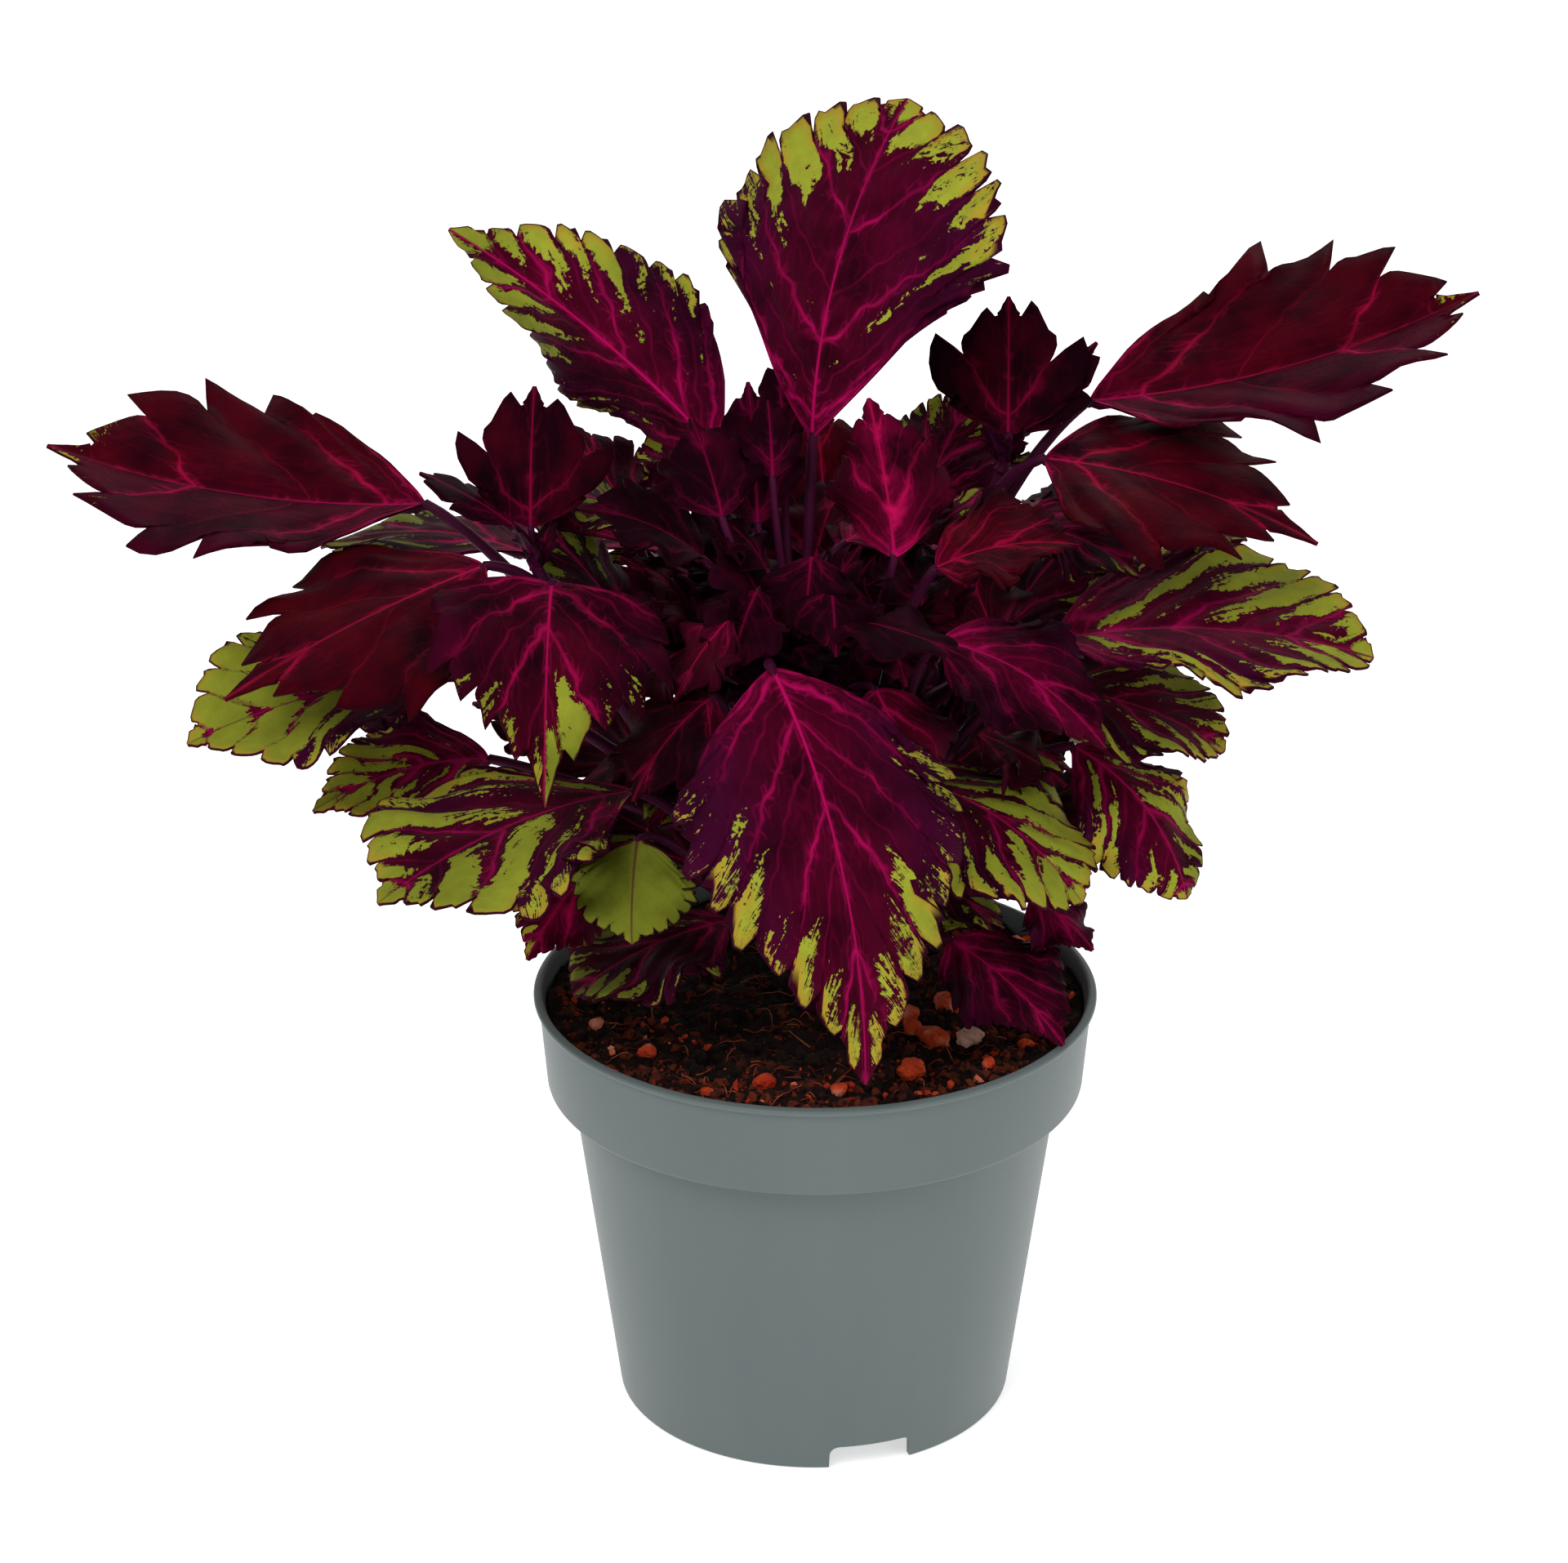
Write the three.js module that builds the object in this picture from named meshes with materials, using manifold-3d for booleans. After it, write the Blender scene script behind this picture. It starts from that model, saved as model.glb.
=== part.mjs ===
// Potted coleus: a round nursery pot, its peat, a branched square stem, large toothed leaves that
// each stand on their own petiole, and one fused cluster of small leaves at the tip of each shoot.
// Millimetres, +Z up. The pot's axis is Z and its foot stands on z = 0. Heading 0 is +X, 90 is +Y.
import * as THREE from 'three'
import { mergeVertices } from 'three/addons/utils/BufferGeometryUtils.js'
import Module from 'manifold-3d'

const wasm = await Module()
wasm.setup()

const GAP = 0.3 // clearance between neighbouring pieces

// ---- driving dimensions of the pot ------------------------------------------------------------
const POT = {
  rimRadius: 60, height: 93.8, lip: 1.0, lipHeight: 1.8,
  bandBottom: 73, bandRadius: 57.4, bodyTopRadius: 52.3, baseRadius: 42.6,
  wall: 1.3, floorUnder: 6, floorTop: 7.4, footWall: 2.2, padRadius: 9, facets: 28,
}
const NOTCH = { count: 3, width: 18, height: 5.5, corner: 2, heading: 286.6 }
const DRAIN = { count: 3, radius: 3.5, ring: 30, sides: 6 }
const SOIL = { top: 88, hole: 3.2, holeFloor: 63.7, facets: 22, rings: [0, 18, 36, 54], bump: 0.66 }
const CHIPS = { count: 10, nearest: 30, spread: 22, size: [2.6, 1.7, 1.3], vary: [1, 0.6, 0.4], sunk: 0.1 }

// ---- stems: start, middle and end of each, half of the square section at both ends -------------
// 'cut' is the share of the length at which the shoot's own cluster begins
const STEMS = {
  main: { path: [[0, 0, 64], [-1, 0, 122], [-5, 0, 176]], half: [2.6, 2.1], cut: 0.86 },
  left: { path: [[-1, 0, 112], [-30, 3, 142], [-59, 6, 188]], half: [1.9, 1.4], cut: 0.93 },
  right: { path: [[-1, 0, 116], [20, 16, 152], [40, 26, 204]], half: [1.9, 1.4], cut: 0.93 },
  back_left: { path: [[0, 0, 104], [-22, 28, 130], [-30, 44, 166]], half: [1.8, 1.3], cut: 0.9 },
  back_right: { path: [[0, 0, 108], [22, 34, 132], [26, 52, 168]], half: [1.8, 1.3], cut: 0.9 },
  front_left: { path: [[0, 0, 98], [-16, -14, 118], [-24, -22, 146]], half: [1.8, 1.3], cut: 0.77 },
  front_right: { path: [[0, 0, 100], [16, 0, 122], [27, -2, 152]], half: [1.8, 1.3], cut: 0.72 },
}

// ---- leaf habits: what a row of the table below leaves out -------------------------------------
// arch: degrees the blade bends over its length, twist: roll about the chord, left and right: how
// far each half is folded up, seen from above looking to the tip, belly: where it is widest
const HABIT = {
  arch: 35, twist: 0, left: 0, right: 0, teeth: 6, depth: 0.1, belly: 0.45, full: 1.9,
  start: 0.26, hook: 0.45, curl: 0.2, wave: 1.5,
}
const BACK = { arch: 45, teeth: 5 }
const RISING = { arch: 25, teeth: 4 }
const YOUNG = { teeth: 5, depth: 0.15, start: 0.2, hook: 0.5 }
const BLUNT = { belly: 0.58, full: 1.4 }
const BLADE = { midrib: 1.5, margin: 0.85, above: 0.4, narrowest: 0.7, tip: 0.4 } // thickness, half widths
const RIPPLE = { count: 2.3, left: 0.7, right: 2.4 } // waves along each half of a blade and where they start
// radius at the stem, radius at the blade and steps; 'into' is how far it runs into the blade, 'seek'
// the step of the search for the place where it is clear of its stem
const PETIOLE = { large: [1.5, 1.15, 2], small: [0.95, 0.9, 2], into: 0.9, straight: 15, turn: 0.55, seek: 0.01 }
const LARGE_LEAF = 28 // wider leaves have the large petiole
const TINY = { teeth: 2, depth: 0.2, start: 0.25, hook: 0.4, wave: 0.5 }

// ---- large leaves: [name, stem, where on it, blade base, blade tip, width, habit] --------------
const LEAVES = [
  ['top', 'main', 0.8, [-1, 14, 211], [18, 40, 275], 64, { arch: 50, belly: 0.64, full: 2.4, teeth: 7 }],
  ['upper_left', 'main', 0.55, [-20, 12, 209], [-74, 36, 248], 41,
    { arch: 25, teeth: 7, twist: -45, left: -65 }],
  ['far_left', 'left', 0.45, [-82, 26, 193], [-155, 34, 200], 54,
    { arch: -22, left: 0, right: 34, ...YOUNG, ...BLUNT }],
  ['left', 'left', 0.85, [-68, 2, 188], [-113, -22, 172], 54, { arch: 12, left: -15, right: 10, ...YOUNG }],
  ['left_front', 'left', 0.8, [-54, -6, 187], [-54, -42, 160], 49,
    { arch: 60, right: 20, belly: 0.34, full: 1.8, ...YOUNG }],
  ['low_left_outer', 'left', 0.3, [-74, 8, 162], [-127, -10, 154], 40,
    { arch: 25, right: 35, left: -5, belly: 0.6, full: 1.6 }],
  ['low_left_pale', 'left', 0.2, [-69, 14, 140], [-104, 4, 133], 32, { right: 25, left: -15 }],
  ['low_left', 'front_left', 0.6, [-37, -20, 147], [-84, -49, 137], 58,
    { arch: 30, right: 5, left: 5, belly: 0.66 }],
  ['pot_edge_left', 'front_left', 0.36, [-42, -25, 135], [-58, -37, 118], 22, { right: 25, left: -25 }],
  ['hanging', 'front_left', 0.52, [-36, -34, 142], [-37, -44, 125], 24,
    { arch: 70, belly: 0.55, full: 1.6 }],
  ['soil_left', 'front_left', 0.25, [-18, -16, 116], [-49, -30, 106], 44, { arch: 30, left: 10 }],
  ['front', 'main', 0.78, [-9, -25, 176], [10, -64, 106], 55,
    { arch: 60, belly: 0.4, full: 2.3, teeth: 7, depth: 0.12 }],
  ['front_right', 'front_right', 0.5, [17, -9, 146], [54, -27, 126], 48, { arch: 50, depth: 0.12 }],
  ['pot_edge_right', 'front_right', 0.3, [45, -9, 118], [57, -17, 111], 20,
    { left: -10, right: -10, teeth: 5 }],
  ['soil_right', 'front_right', 0.15, [28, -14, 111], [50, -32, 97], 30, { arch: 30, left: 10 }],
  ['low_right', 'front_right', 0.6, [42, 4, 160], [84, -4, 150], 46,
    { arch: 40, left: 15, right: 5 }],
  ['low_right_outer', 'front_right', 0.42, [54, 10, 145], [78, -3, 116], 30,
    { arch: 60, left: 5, right: -35 }],
  ['right_striped', 'right', 0.45, [49, 4, 171], [114, 0, 169], 54,
    { arch: 30, teeth: 7, left: 25, right: 5 }],
  ['right', 'right', 0.85, [47, 18, 206], [96, 4, 196], 54, { arch: 22, left: 18, right: -8, ...YOUNG }],
  ['far_right', 'right', 0.62, [57, 35, 213], [131, 38, 232], 54,
    { arch: -22, left: 40, right: 0, ...YOUNG, ...BLUNT }],
  ['centre_right', 'right', 0.3, [24, -8, 191], [51, -10, 197], 30, { left: 30, teeth: 5 }],
  ['centre_front', 'front_right', 0.58, [25, -12, 177], [57, -26, 161], 32,
    { arch: 45, left: 20, right: -10, teeth: 5 }],
  ['bright', 'main', 0.8, [16, -5, 192], [11, 5, 221], 27, { arch: 20, right: 10, left: -60, teeth: 4 }],
  ['behind_right', 'back_right', 0.7, [22, 36, 189], [34, 56, 208], 36, { arch: 20 }],
  ['behind_left', 'back_left', 0.8, [-28, 20, 187], [-54, 24, 197], 28, { arch: 20 }],
  ['bright_left', 'back_left', 0.72, [-24, 36, 190], [-32, 46, 206], 24, { arch: 20, teeth: 4 }],
  ['inner_right', 'right', 0.36, [42, 10, 194], [65, 5, 186], 32, { arch: 40, left: 20 }],
  ['back_1', 'back_left', 0.76, [-34, 58, 171], [-56, 100, 157], 46, BACK],
  ['back_2', 'back_left', 0.64, [-24, 60, 166], [-20, 109, 148], 46, BACK],
  ['back_3', 'back_right', 0.5, [44, 58, 168], [84, 84, 156], 46, BACK],
  ['back_4', 'back_right', 0.58, [19, 72, 170], [21, 116, 147], 44, BACK],
  ['back_5', 'main', 0.5, [3, 36, 168], [0, 66, 200], 40, RISING],
  ['back_6', 'back_left', 0.5, [-62, 40, 177], [-106, 62, 171], 46, { left: 10, teeth: 5 }],
  ['back_7', 'right', 0.57, [46, 38, 184], [92, 72, 170], 48, { arch: 35 }],
  ['back_8', 'back_left', 0.4, [-24, 40, 130], [-60, 84, 114], 40, BACK],
  ['back_9', 'back_right', 0.4, [26, 44, 132], [62, 86, 116], 40, BACK],
  ['back_10', 'main', 0.3, [0, 30, 116], [2, 92, 106], 44, BACK],
  ['inner_1', 'back_left', 0.57, [-38, 42, 178], [-52, 58, 198], 32, RISING],
  ['inner_2', 'back_right', 0.3, [10, 25, 140], [17, 40, 176], 26, RISING],
  ['inner_3', 'right', 0.5, [38, 34, 158], [58, 46, 181], 38, RISING],
  ['inner_4', 'back_left', 0.3, [-36, 25, 134], [-72, 37, 143], 34, RISING],
  ['inner_5', 'right', 0.22, [26, 24, 131], [57, 38, 146], 36, RISING],
  ['inner_6', 'main', 0.42, [-12, 14, 154], [-15, 33, 186], 24, RISING],
  ['inner_7', 'back_left', 0.45, [-36, 26, 158], [-59, 38, 184], 30, RISING],
  ['inner_8', 'front_left', 0.15, [-20, 10, 112], [-50, 24, 126], 30, RISING],
  ['inner_9', 'front_right', 0.2, [30, 12, 116], [62, 23, 133], 34, RISING],
  ['inner_10', 'main', 0.34, [-11, 13, 137], [-29, 22, 168], 30, RISING],
  ['centre_low', 'main', 0.7, [12, -16, 168], [20, -29, 148], 26, { arch: 40, teeth: 4 }],
]

// ---- small leaves fused into the cluster of their shoot ----------------------------------------
const SMALL = {
  centre: [
    ['main', 0.97, [-7, 17, 208], [-8, 25, 224], 12, TINY],
    ['main', 0.97, [-9, 4, 206], [-10, 10, 220], 12, TINY],
    ['main', 0.97, [1, -17, 184], [29, -29, 180], 22, { arch: 25, teeth: 3 }],
    ['main', 0.95, [-12, -10, 187], [-17, -21, 174], 20, { teeth: 3 }],
    ['main', 0.9, [3, -14, 190], [4, -26, 180], 18, { teeth: 3 }],
    ['main', 0.9, [-19, -6, 201], [-25, 2, 218], 24, { arch: 20, teeth: 3 }],
    ['main', 0.9, [-23, -2, 191], [-46, -4, 202], 26, { right: 30, teeth: 3 }],
    ['main', 0.95, [-10, -4, 189], [-19, -2, 199], 16, { teeth: 2 }],
    ['main', 0.92, [12, -12, 182], [18, -20, 171], 16, { teeth: 3 }],
    ['main', 0.95, [-12, 4, 196], [-14, 14, 222], 20, { arch: 20, teeth: 3 }],
  ],
  left: [
    ['left', 0.97, [-59, 7, 194], [-58, 12, 221], 28, { ...TINY, arch: 15, full: 2, depth: 0.2 }],
    ['left', 0.97, [-62, 6, 195], [-81, 12, 204], 14, { ...TINY, arch: 15 }],
  ],
  right: [
    ['right', 0.97, [40, 26, 208], [40, 36, 233], 30, { ...TINY, arch: 15, full: 2, depth: 0.2 }],
    ['right', 0.97, [43, 28, 208], [58, 38, 224], 14, { ...TINY, arch: 15, right: -30 }],
  ],
  front_left: [
    ['front_left', 0.85, [-21, -21, 168], [-36, -33, 152], 30, { arch: 40, teeth: 3 }],
    ['front_left', 0.8, [-12, -30, 140], [-16, -48, 134], 20, { arch: 40, teeth: 3 }],
  ],
  front_right: [],
  back_left: [],
  back_right: [],
}
const TIP_PAIR = { length: 11, width: 7, rise: 64, heading: 40 } // the youngest two leaves of each shoot

// ---- small helpers ------------------------------------------------------------------------------
const V = (p) => new THREE.Vector3(...p)
const rad = THREE.MathUtils.degToRad
const clamp = THREE.MathUtils.clamp

function randomFrom (seed) { // the same draws every time
  let s = seed >>> 0
  return () => {
    s = (s * 1664525 + 1013904223) >>> 0
    return s / 4294967296
  }
}

function toSolid (geometry) {
  geometry.deleteAttribute('normal')
  geometry.deleteAttribute('uv')
  const g = mergeVertices(geometry, 1e-4)
  return new wasm.Manifold(new wasm.Mesh({
    numProp: 3, vertProperties: g.attributes.position.array, triVerts: new Uint32Array(g.index.array),
  }))
}

function toGeometry (solid) {
  const mesh = solid.getMesh()
  const g = new THREE.BufferGeometry()
  g.setAttribute('position', new THREE.BufferAttribute(mesh.vertProperties, 3))
  g.setIndex(new THREE.BufferAttribute(mesh.triVerts, 1))
  g.computeVertexNormals()
  return g
}

const largest = (solid) => solid.decompose().reduce((a, b) => (a.volume() > b.volume() ? a : b))
const join = (solids) => solids.reduce((a, b) => a.add(b))

// a closed solid through rings of equal, even count; both halves of a ring are split alike
function loft (rings) {
  const n = rings[0].length
  const position = rings.flat().flatMap((p) => p.toArray())
  const index = []
  for (let j = 0; j + 1 < rings.length; j++) {
    for (let i = 0; i < n; i++) {
      const a = j * n + i
      const b = j * n + (i + 1) % n
      const c = a + n
      const d = b + n
      if (i < n / 2) index.push(a, b, c, b, d, c)
      else index.push(a, b, d, a, d, c)
    }
  }
  const last = (rings.length - 1) * n
  for (let k = 0; k + 1 < n / 2; k++) {
    const [a, b, c, d] = [k, k + 1, n - 2 - k, n - 1 - k]
    index.push(a, c, b, a, d, c)
    index.push(last + a, last + b, last + c, last + a, last + c, last + d)
  }
  const g = new THREE.BufferGeometry()
  g.setAttribute('position', new THREE.Float32BufferAttribute(position, 3))
  g.setIndex(index)
  const solid = toSolid(g)
  return solid.volume() < 0 ? flipped(g) : solid
}

function flipped (g) {
  const index = Array.from(g.index.array)
  for (let i = 0; i < index.length; i += 3) [index[i], index[i + 1]] = [index[i + 1], index[i]]
  g.setIndex(index)
  return toSolid(g)
}

// quadratic curve through the middle point
function curveThrough ([a, b, c]) {
  const control = V(b).multiplyScalar(2).addScaledVector(V(a), -0.5).addScaledVector(V(c), -0.5)
  return new THREE.QuadraticBezierCurve3(V(a), control, V(c))
}

// a four-sided bar along a curve, its radius running from r0 to r1; 'turn' rolls the section
function bar (curve, t0, t1, r0, r1, steps, turn = Math.PI / 4) {
  const sides = 4
  const rings = []
  let across = new THREE.Vector3(1, 0, 0)
  for (let i = 0; i <= steps; i++) {
    const f = i / steps
    const t = THREE.MathUtils.lerp(t0, t1, f)
    const point = curve.getPoint(t)
    const along = curve.getTangent(t)
    across = across.clone().addScaledVector(along, -across.dot(along)).normalize()
    const up = new THREE.Vector3().crossVectors(along, across)
    const r = THREE.MathUtils.lerp(r0, r1, f)
    const ring = []
    for (let k = 0; k < sides; k++) {
      const a = turn + k * 2 * Math.PI / sides
      ring.push(point.clone().addScaledVector(across, r * Math.cos(a)).addScaledVector(up, r * Math.sin(a)))
    }
    rings.push(ring)
  }
  return loft(rings)
}

// ---- pot ----------------------------------------------------------------------------------------
// inner radius of the wall at a height, which the soil follows
function potInside (z) {
  const p = POT
  if (z >= p.bandBottom + p.wall) {
    const f = (z - p.bandBottom) / (p.height - p.bandBottom)
    return THREE.MathUtils.lerp(p.bandRadius, p.rimRadius - p.lip, f) - p.wall
  }
  return THREE.MathUtils.lerp(p.baseRadius, p.bodyTopRadius, z / p.bandBottom) - p.wall
}

function lathe (points, facets) {
  const g = new THREE.LatheGeometry(points.map(([r, z]) => new THREE.Vector2(r, z)), facets)
  g.rotateX(Math.PI / 2)
  const solid = toSolid(g)
  return solid.volume() < 0 ? flipped(mergeVertices(g, 1e-4)) : solid
}

function potSolid () {
  const p = POT
  const lipUnder = p.height - p.lipHeight
  const outside = [
    [p.baseRadius - 0.7, 0], [p.baseRadius, 0.7], [p.bodyTopRadius, p.bandBottom - 0.4],
    [p.bandRadius - 0.5, p.bandBottom], [p.bandRadius, p.bandBottom + 0.8],
    [p.rimRadius - p.lip, lipUnder], [p.rimRadius, lipUnder + 0.6], [p.rimRadius, p.height - 0.5],
    [p.rimRadius - 0.5, p.height],
  ]
  const inside = [
    [p.rimRadius - p.lip - 0.8, p.height], [potInside(lipUnder), lipUnder],
    [potInside(p.bandBottom + p.wall), p.bandBottom + p.wall],
    [p.bodyTopRadius - p.wall, p.bandBottom + 0.6], [potInside(p.floorTop), p.floorTop], [0, p.floorTop],
  ]
  const under = [
    [0, 0], [p.padRadius, 0], [p.padRadius, p.floorUnder],
    [p.baseRadius - p.footWall, p.floorUnder], [p.baseRadius - p.footWall, 0],
  ]
  let pot = lathe([...under, ...outside, ...inside, [0, 0]], p.facets)
  for (let i = 0; i < NOTCH.count; i++) pot = pot.subtract(notch(NOTCH.heading + i * 360 / NOTCH.count))
  for (let i = 0; i < DRAIN.count; i++) {
    const a = rad(NOTCH.heading + 60 + i * 360 / DRAIN.count)
    const depth = 2 * (p.floorTop - p.floorUnder)
    const hole = new THREE.CylinderGeometry(DRAIN.radius, DRAIN.radius, depth, DRAIN.sides)
    hole.rotateX(Math.PI / 2)
    hole.translate(DRAIN.ring * Math.cos(a), DRAIN.ring * Math.sin(a), (p.floorTop + p.floorUnder) / 2)
    pot = pot.subtract(toSolid(hole))
  }
  return pot
}

// a low arch with round corners, cut through the foot at a heading
function notch (heading) {
  const w = NOTCH.width / 2
  const c = NOTCH.corner
  const outline = new THREE.Shape()
  outline.moveTo(-w, -1)
  outline.lineTo(w, -1)
  outline.lineTo(w, NOTCH.height - c)
  outline.absarc(w - c, NOTCH.height - c, c, 0, Math.PI / 2)
  outline.absarc(c - w, NOTCH.height - c, c, Math.PI / 2, Math.PI)
  const g = new THREE.ExtrudeGeometry(outline, { depth: 8, bevelEnabled: false, curveSegments: 3 })
  g.rotateX(Math.PI / 2)
  g.translate(0, -(POT.baseRadius - 6), 0)
  g.rotateZ(rad(heading - 270))
  return toSolid(g)
}

// ---- soil ---------------------------------------------------------------------------------------
function soilHeight (x, y) {
  const lumps = Math.sin(x * 0.31 + 1) * Math.cos(y * 0.27) + 0.6 * Math.sin(x * 0.13 - y * 0.45 + 2)
  return SOIL.top + SOIL.bump * lumps
}

function soilSolid () {
  const clear = GAP + 0.4 // the facets of soil and pot don't line up
  const step = POT.bandBottom + POT.wall + 0.6
  const profile = [
    ...SOIL.rings.map((r) => [Math.max(r, 0.01), SOIL.top]),
    [potInside(SOIL.top - 0.5) - clear, SOIL.top - 0.5],
    [potInside(step) - clear, step],
    [POT.bodyTopRadius - POT.wall - clear, step - 0.4],
    [potInside(POT.floorTop) - clear, POT.floorTop + GAP],
    [0.01, POT.floorTop + GAP],
  ]
  const rings = profile.map(([r, z], j) => Array.from({ length: SOIL.facets }, (_, i) => {
    const a = i * 2 * Math.PI / SOIL.facets
    const [x, y] = [r * Math.cos(a), r * Math.sin(a)]
    const top = j < SOIL.rings.length ? soilHeight(x, y) : z
    return new THREE.Vector3(x, y, top)
  }))
  let soil = loft(rings)
  const hole = new THREE.BoxGeometry(2 * SOIL.hole, 2 * SOIL.hole, 40)
  hole.translate(0, 0, SOIL.holeFloor + 20)
  soil = soil.subtract(toSolid(hole))
  const random = randomFrom(7)
  for (let i = 0; i < CHIPS.count; i++) {
    const a = (i + 0.6 * random()) * 2 * Math.PI / CHIPS.count
    const r = CHIPS.nearest + CHIPS.spread * random()
    const [x, y] = [r * Math.cos(a), r * Math.sin(a)]
    const chip = new THREE.OctahedronGeometry(1, 0)
    chip.scale(...CHIPS.size.map((d, k) => d + CHIPS.vary[k] * random()))
    chip.rotateZ(2 * Math.PI * random())
    chip.translate(x, y, soilHeight(x, y) - CHIPS.sunk)
    soil = soil.add(toSolid(chip))
  }
  return soil
}

// ---- stems --------------------------------------------------------------------------------------
const CURVES = Object.fromEntries(Object.entries(STEMS).map(([k, s]) => [k, curveThrough(s.path)]))

// a square stem between two shares of its length, 'grow' thicker all round
function stemSolid (name, f0, f1, grow = 0) {
  const [h0, h1] = STEMS[name].half
  const radius = (f) => (THREE.MathUtils.lerp(h0, h1, f) + grow) * Math.SQRT2
  return bar(CURVES[name], f0, f1, radius(f0), radius(f1), f1 - f0 > 0.5 ? 6 : 1)
}

// ---- leaves -------------------------------------------------------------------------------------
// the blade's middle line is an arc from base to tip; gives its place, side and normal along it
function leafFrame (row) {
  const chord = row.tip.clone().sub(row.base)
  const c = chord.length()
  const t = chord.normalize()
  const heading = Math.atan2(t.y, t.x)
  const leftward = new THREE.Vector3(-Math.sin(heading), Math.cos(heading), 0)
  const lift = new THREE.Vector3().crossVectors(t, leftward)
  const roll = rad(row.twist)
  const side = leftward.clone().multiplyScalar(Math.cos(roll)).addScaledVector(lift, Math.sin(roll))
  const bulge = lift.clone().multiplyScalar(Math.cos(roll / 2)).addScaledVector(leftward, -Math.sin(roll / 2))
  const a = rad(row.arch)
  const R = c / (2 * Math.sin(a / 2))
  const at = (f) => {
    const g = a / 2 - a * f
    const place = row.base.clone()
      .addScaledVector(t, R * (Math.sin(a / 2) - Math.sin(g)))
      .addScaledVector(bulge, R * (Math.cos(g) - Math.cos(a / 2)))
    const along = t.clone().multiplyScalar(Math.cos(g)).addScaledVector(bulge, Math.sin(g))
    const across = side.clone().addScaledVector(along, -side.dot(along)).normalize()
    return { place, along, across, normal: new THREE.Vector3().crossVectors(along, across) }
  }
  return { at, length: R * a }
}

// how wide the blade is at share q of its length, 1 at its belly
function fullness (q, row) {
  const a = row.full * row.belly
  const b = row.full * (1 - row.belly)
  return (q ** a) * ((1 - q) ** b) / ((row.belly ** a) * ((1 - row.belly) ** b))
}

// how far back on the middle line a side vein starts that ends at share q of the margin
function veinLag (q, row) {
  const rise = THREE.MathUtils.smoothstep(q, 0, 0.6)
  return 0.4 * fullness(q, row) * row.width / 2 * rise
}

// points of one margin from base to tip: two for each tooth, with the station of their side vein
function marginPoints (row, length, random) {
  const half = row.width / 2
  const points = [0, 0.5].map((f) => {
    const q = f * row.start
    return { q, u: q * length, v: Math.max(fullness(q, row) * half, BLADE.narrowest) }
  })
  for (let k = 0; k < row.teeth; k++) {
    const share = (x) => row.start + (1 - row.start) * (k + x) / row.teeth
    const size = (q) => row.depth * row.width * (0.45 + 0.55 * Math.sqrt(fullness(q, row))) *
      clamp((1 - q) / 0.3, 0, 1) ** 0.6
    const valley = share(0)
    const point = share(0.86)
    const reach = size(point) * (0.8 + 0.4 * random())
    const cutIn = k > 0 ? 0.35 * size(valley) : 0
    points.push({ q: valley, u: valley * length, v: fullness(valley, row) * half - cutIn })
    const [u, v] = [point * length + row.hook * reach, fullness(point, row) * half + 0.75 * reach]
    points.push({ q: share(0.6), u, v })
  }
  points.push({ q: 1, u: length, v: BLADE.tip })
  return points
}

// a thin toothed blade: one ring of upper and lower points for each margin point
function bladeSolid (row, frame, seed) {
  const margins = [1, -1].map((s) => marginPoints(row, frame.length, randomFrom(seed + s + 2)))
  const columns = [1, 0, -1]
  const rings = margins[0].map((_, j) => {
    const upper = []
    const lower = []
    for (const w of columns) {
      const s = w < 0 ? -1 : 1
      const m = margins[s > 0 ? 0 : 1][j]
      const station = m.q * frame.length - veinLag(m.q, row)
      const u = THREE.MathUtils.lerp(station, m.u, Math.abs(w))
      const v = m.v * Math.abs(w)
      const [place, normal] = bladePoint(row, frame, u, v, s)
      const thick = w === 0 ? BLADE.midrib : BLADE.margin
      upper.push(place.clone().addScaledVector(normal, thick * BLADE.above))
      lower.unshift(place.clone().addScaledVector(normal, thick * (BLADE.above - 1)))
    }
    return [...upper, ...lower]
  })
  return loft(rings)
}

function bladePoint (row, frame, u, v, s) {
  const { place, across, normal } = frame.at(clamp(u / frame.length, 0, 1.08))
  const half = row.width / 2
  const x = v / half
  const fold = rad(s > 0 ? row.left : row.right)
  const turn = 2 * Math.PI * RIPPLE.count * u / frame.length + (s > 0 ? RIPPLE.left : RIPPLE.right)
  const wave = row.wave * Math.min(x, 1.2) ** 1.5 * Math.sin(turn)
  const h = wave - row.curl * half * x * x / 2
  const out = v * Math.cos(fold) - h * Math.sin(fold)
  const up = v * Math.sin(fold) + h * Math.cos(fold)
  const turned = normal.clone().multiplyScalar(Math.cos(fold)).addScaledVector(across, -s * Math.sin(fold))
  return [place.clone().addScaledVector(across, s * out).addScaledVector(normal, up), turned]
}

// the petiole runs from the stem's middle, or from just clear of 'obstacle', to inside the blade's base
function petioleSolid (row, frame, obstacle) {
  const root = CURVES[row.stem].getPoint(row.share)
  const start = frame.at(0)
  const end = frame.at(PETIOLE.into / frame.length).place
  const reach = start.place.distanceTo(root)
  const control = start.place.clone().addScaledVector(start.along, -Math.min(reach / 2, PETIOLE.straight))
    .lerp(start.place.clone().lerp(root, 0.5), 0.4)
  const path = new THREE.QuadraticBezierCurve3(root, control, end)
  const [thick, thin, steps] = row.width > LARGE_LEAF ? PETIOLE.large : PETIOLE.small
  const from = (t) => bar(path, t, 1, thick, thin, steps, PETIOLE.turn)
  let t = 0
  while (obstacle && t < 0.5 && !from(t).intersect(obstacle).isEmpty()) t += PETIOLE.seek
  return from(t)
}

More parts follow.
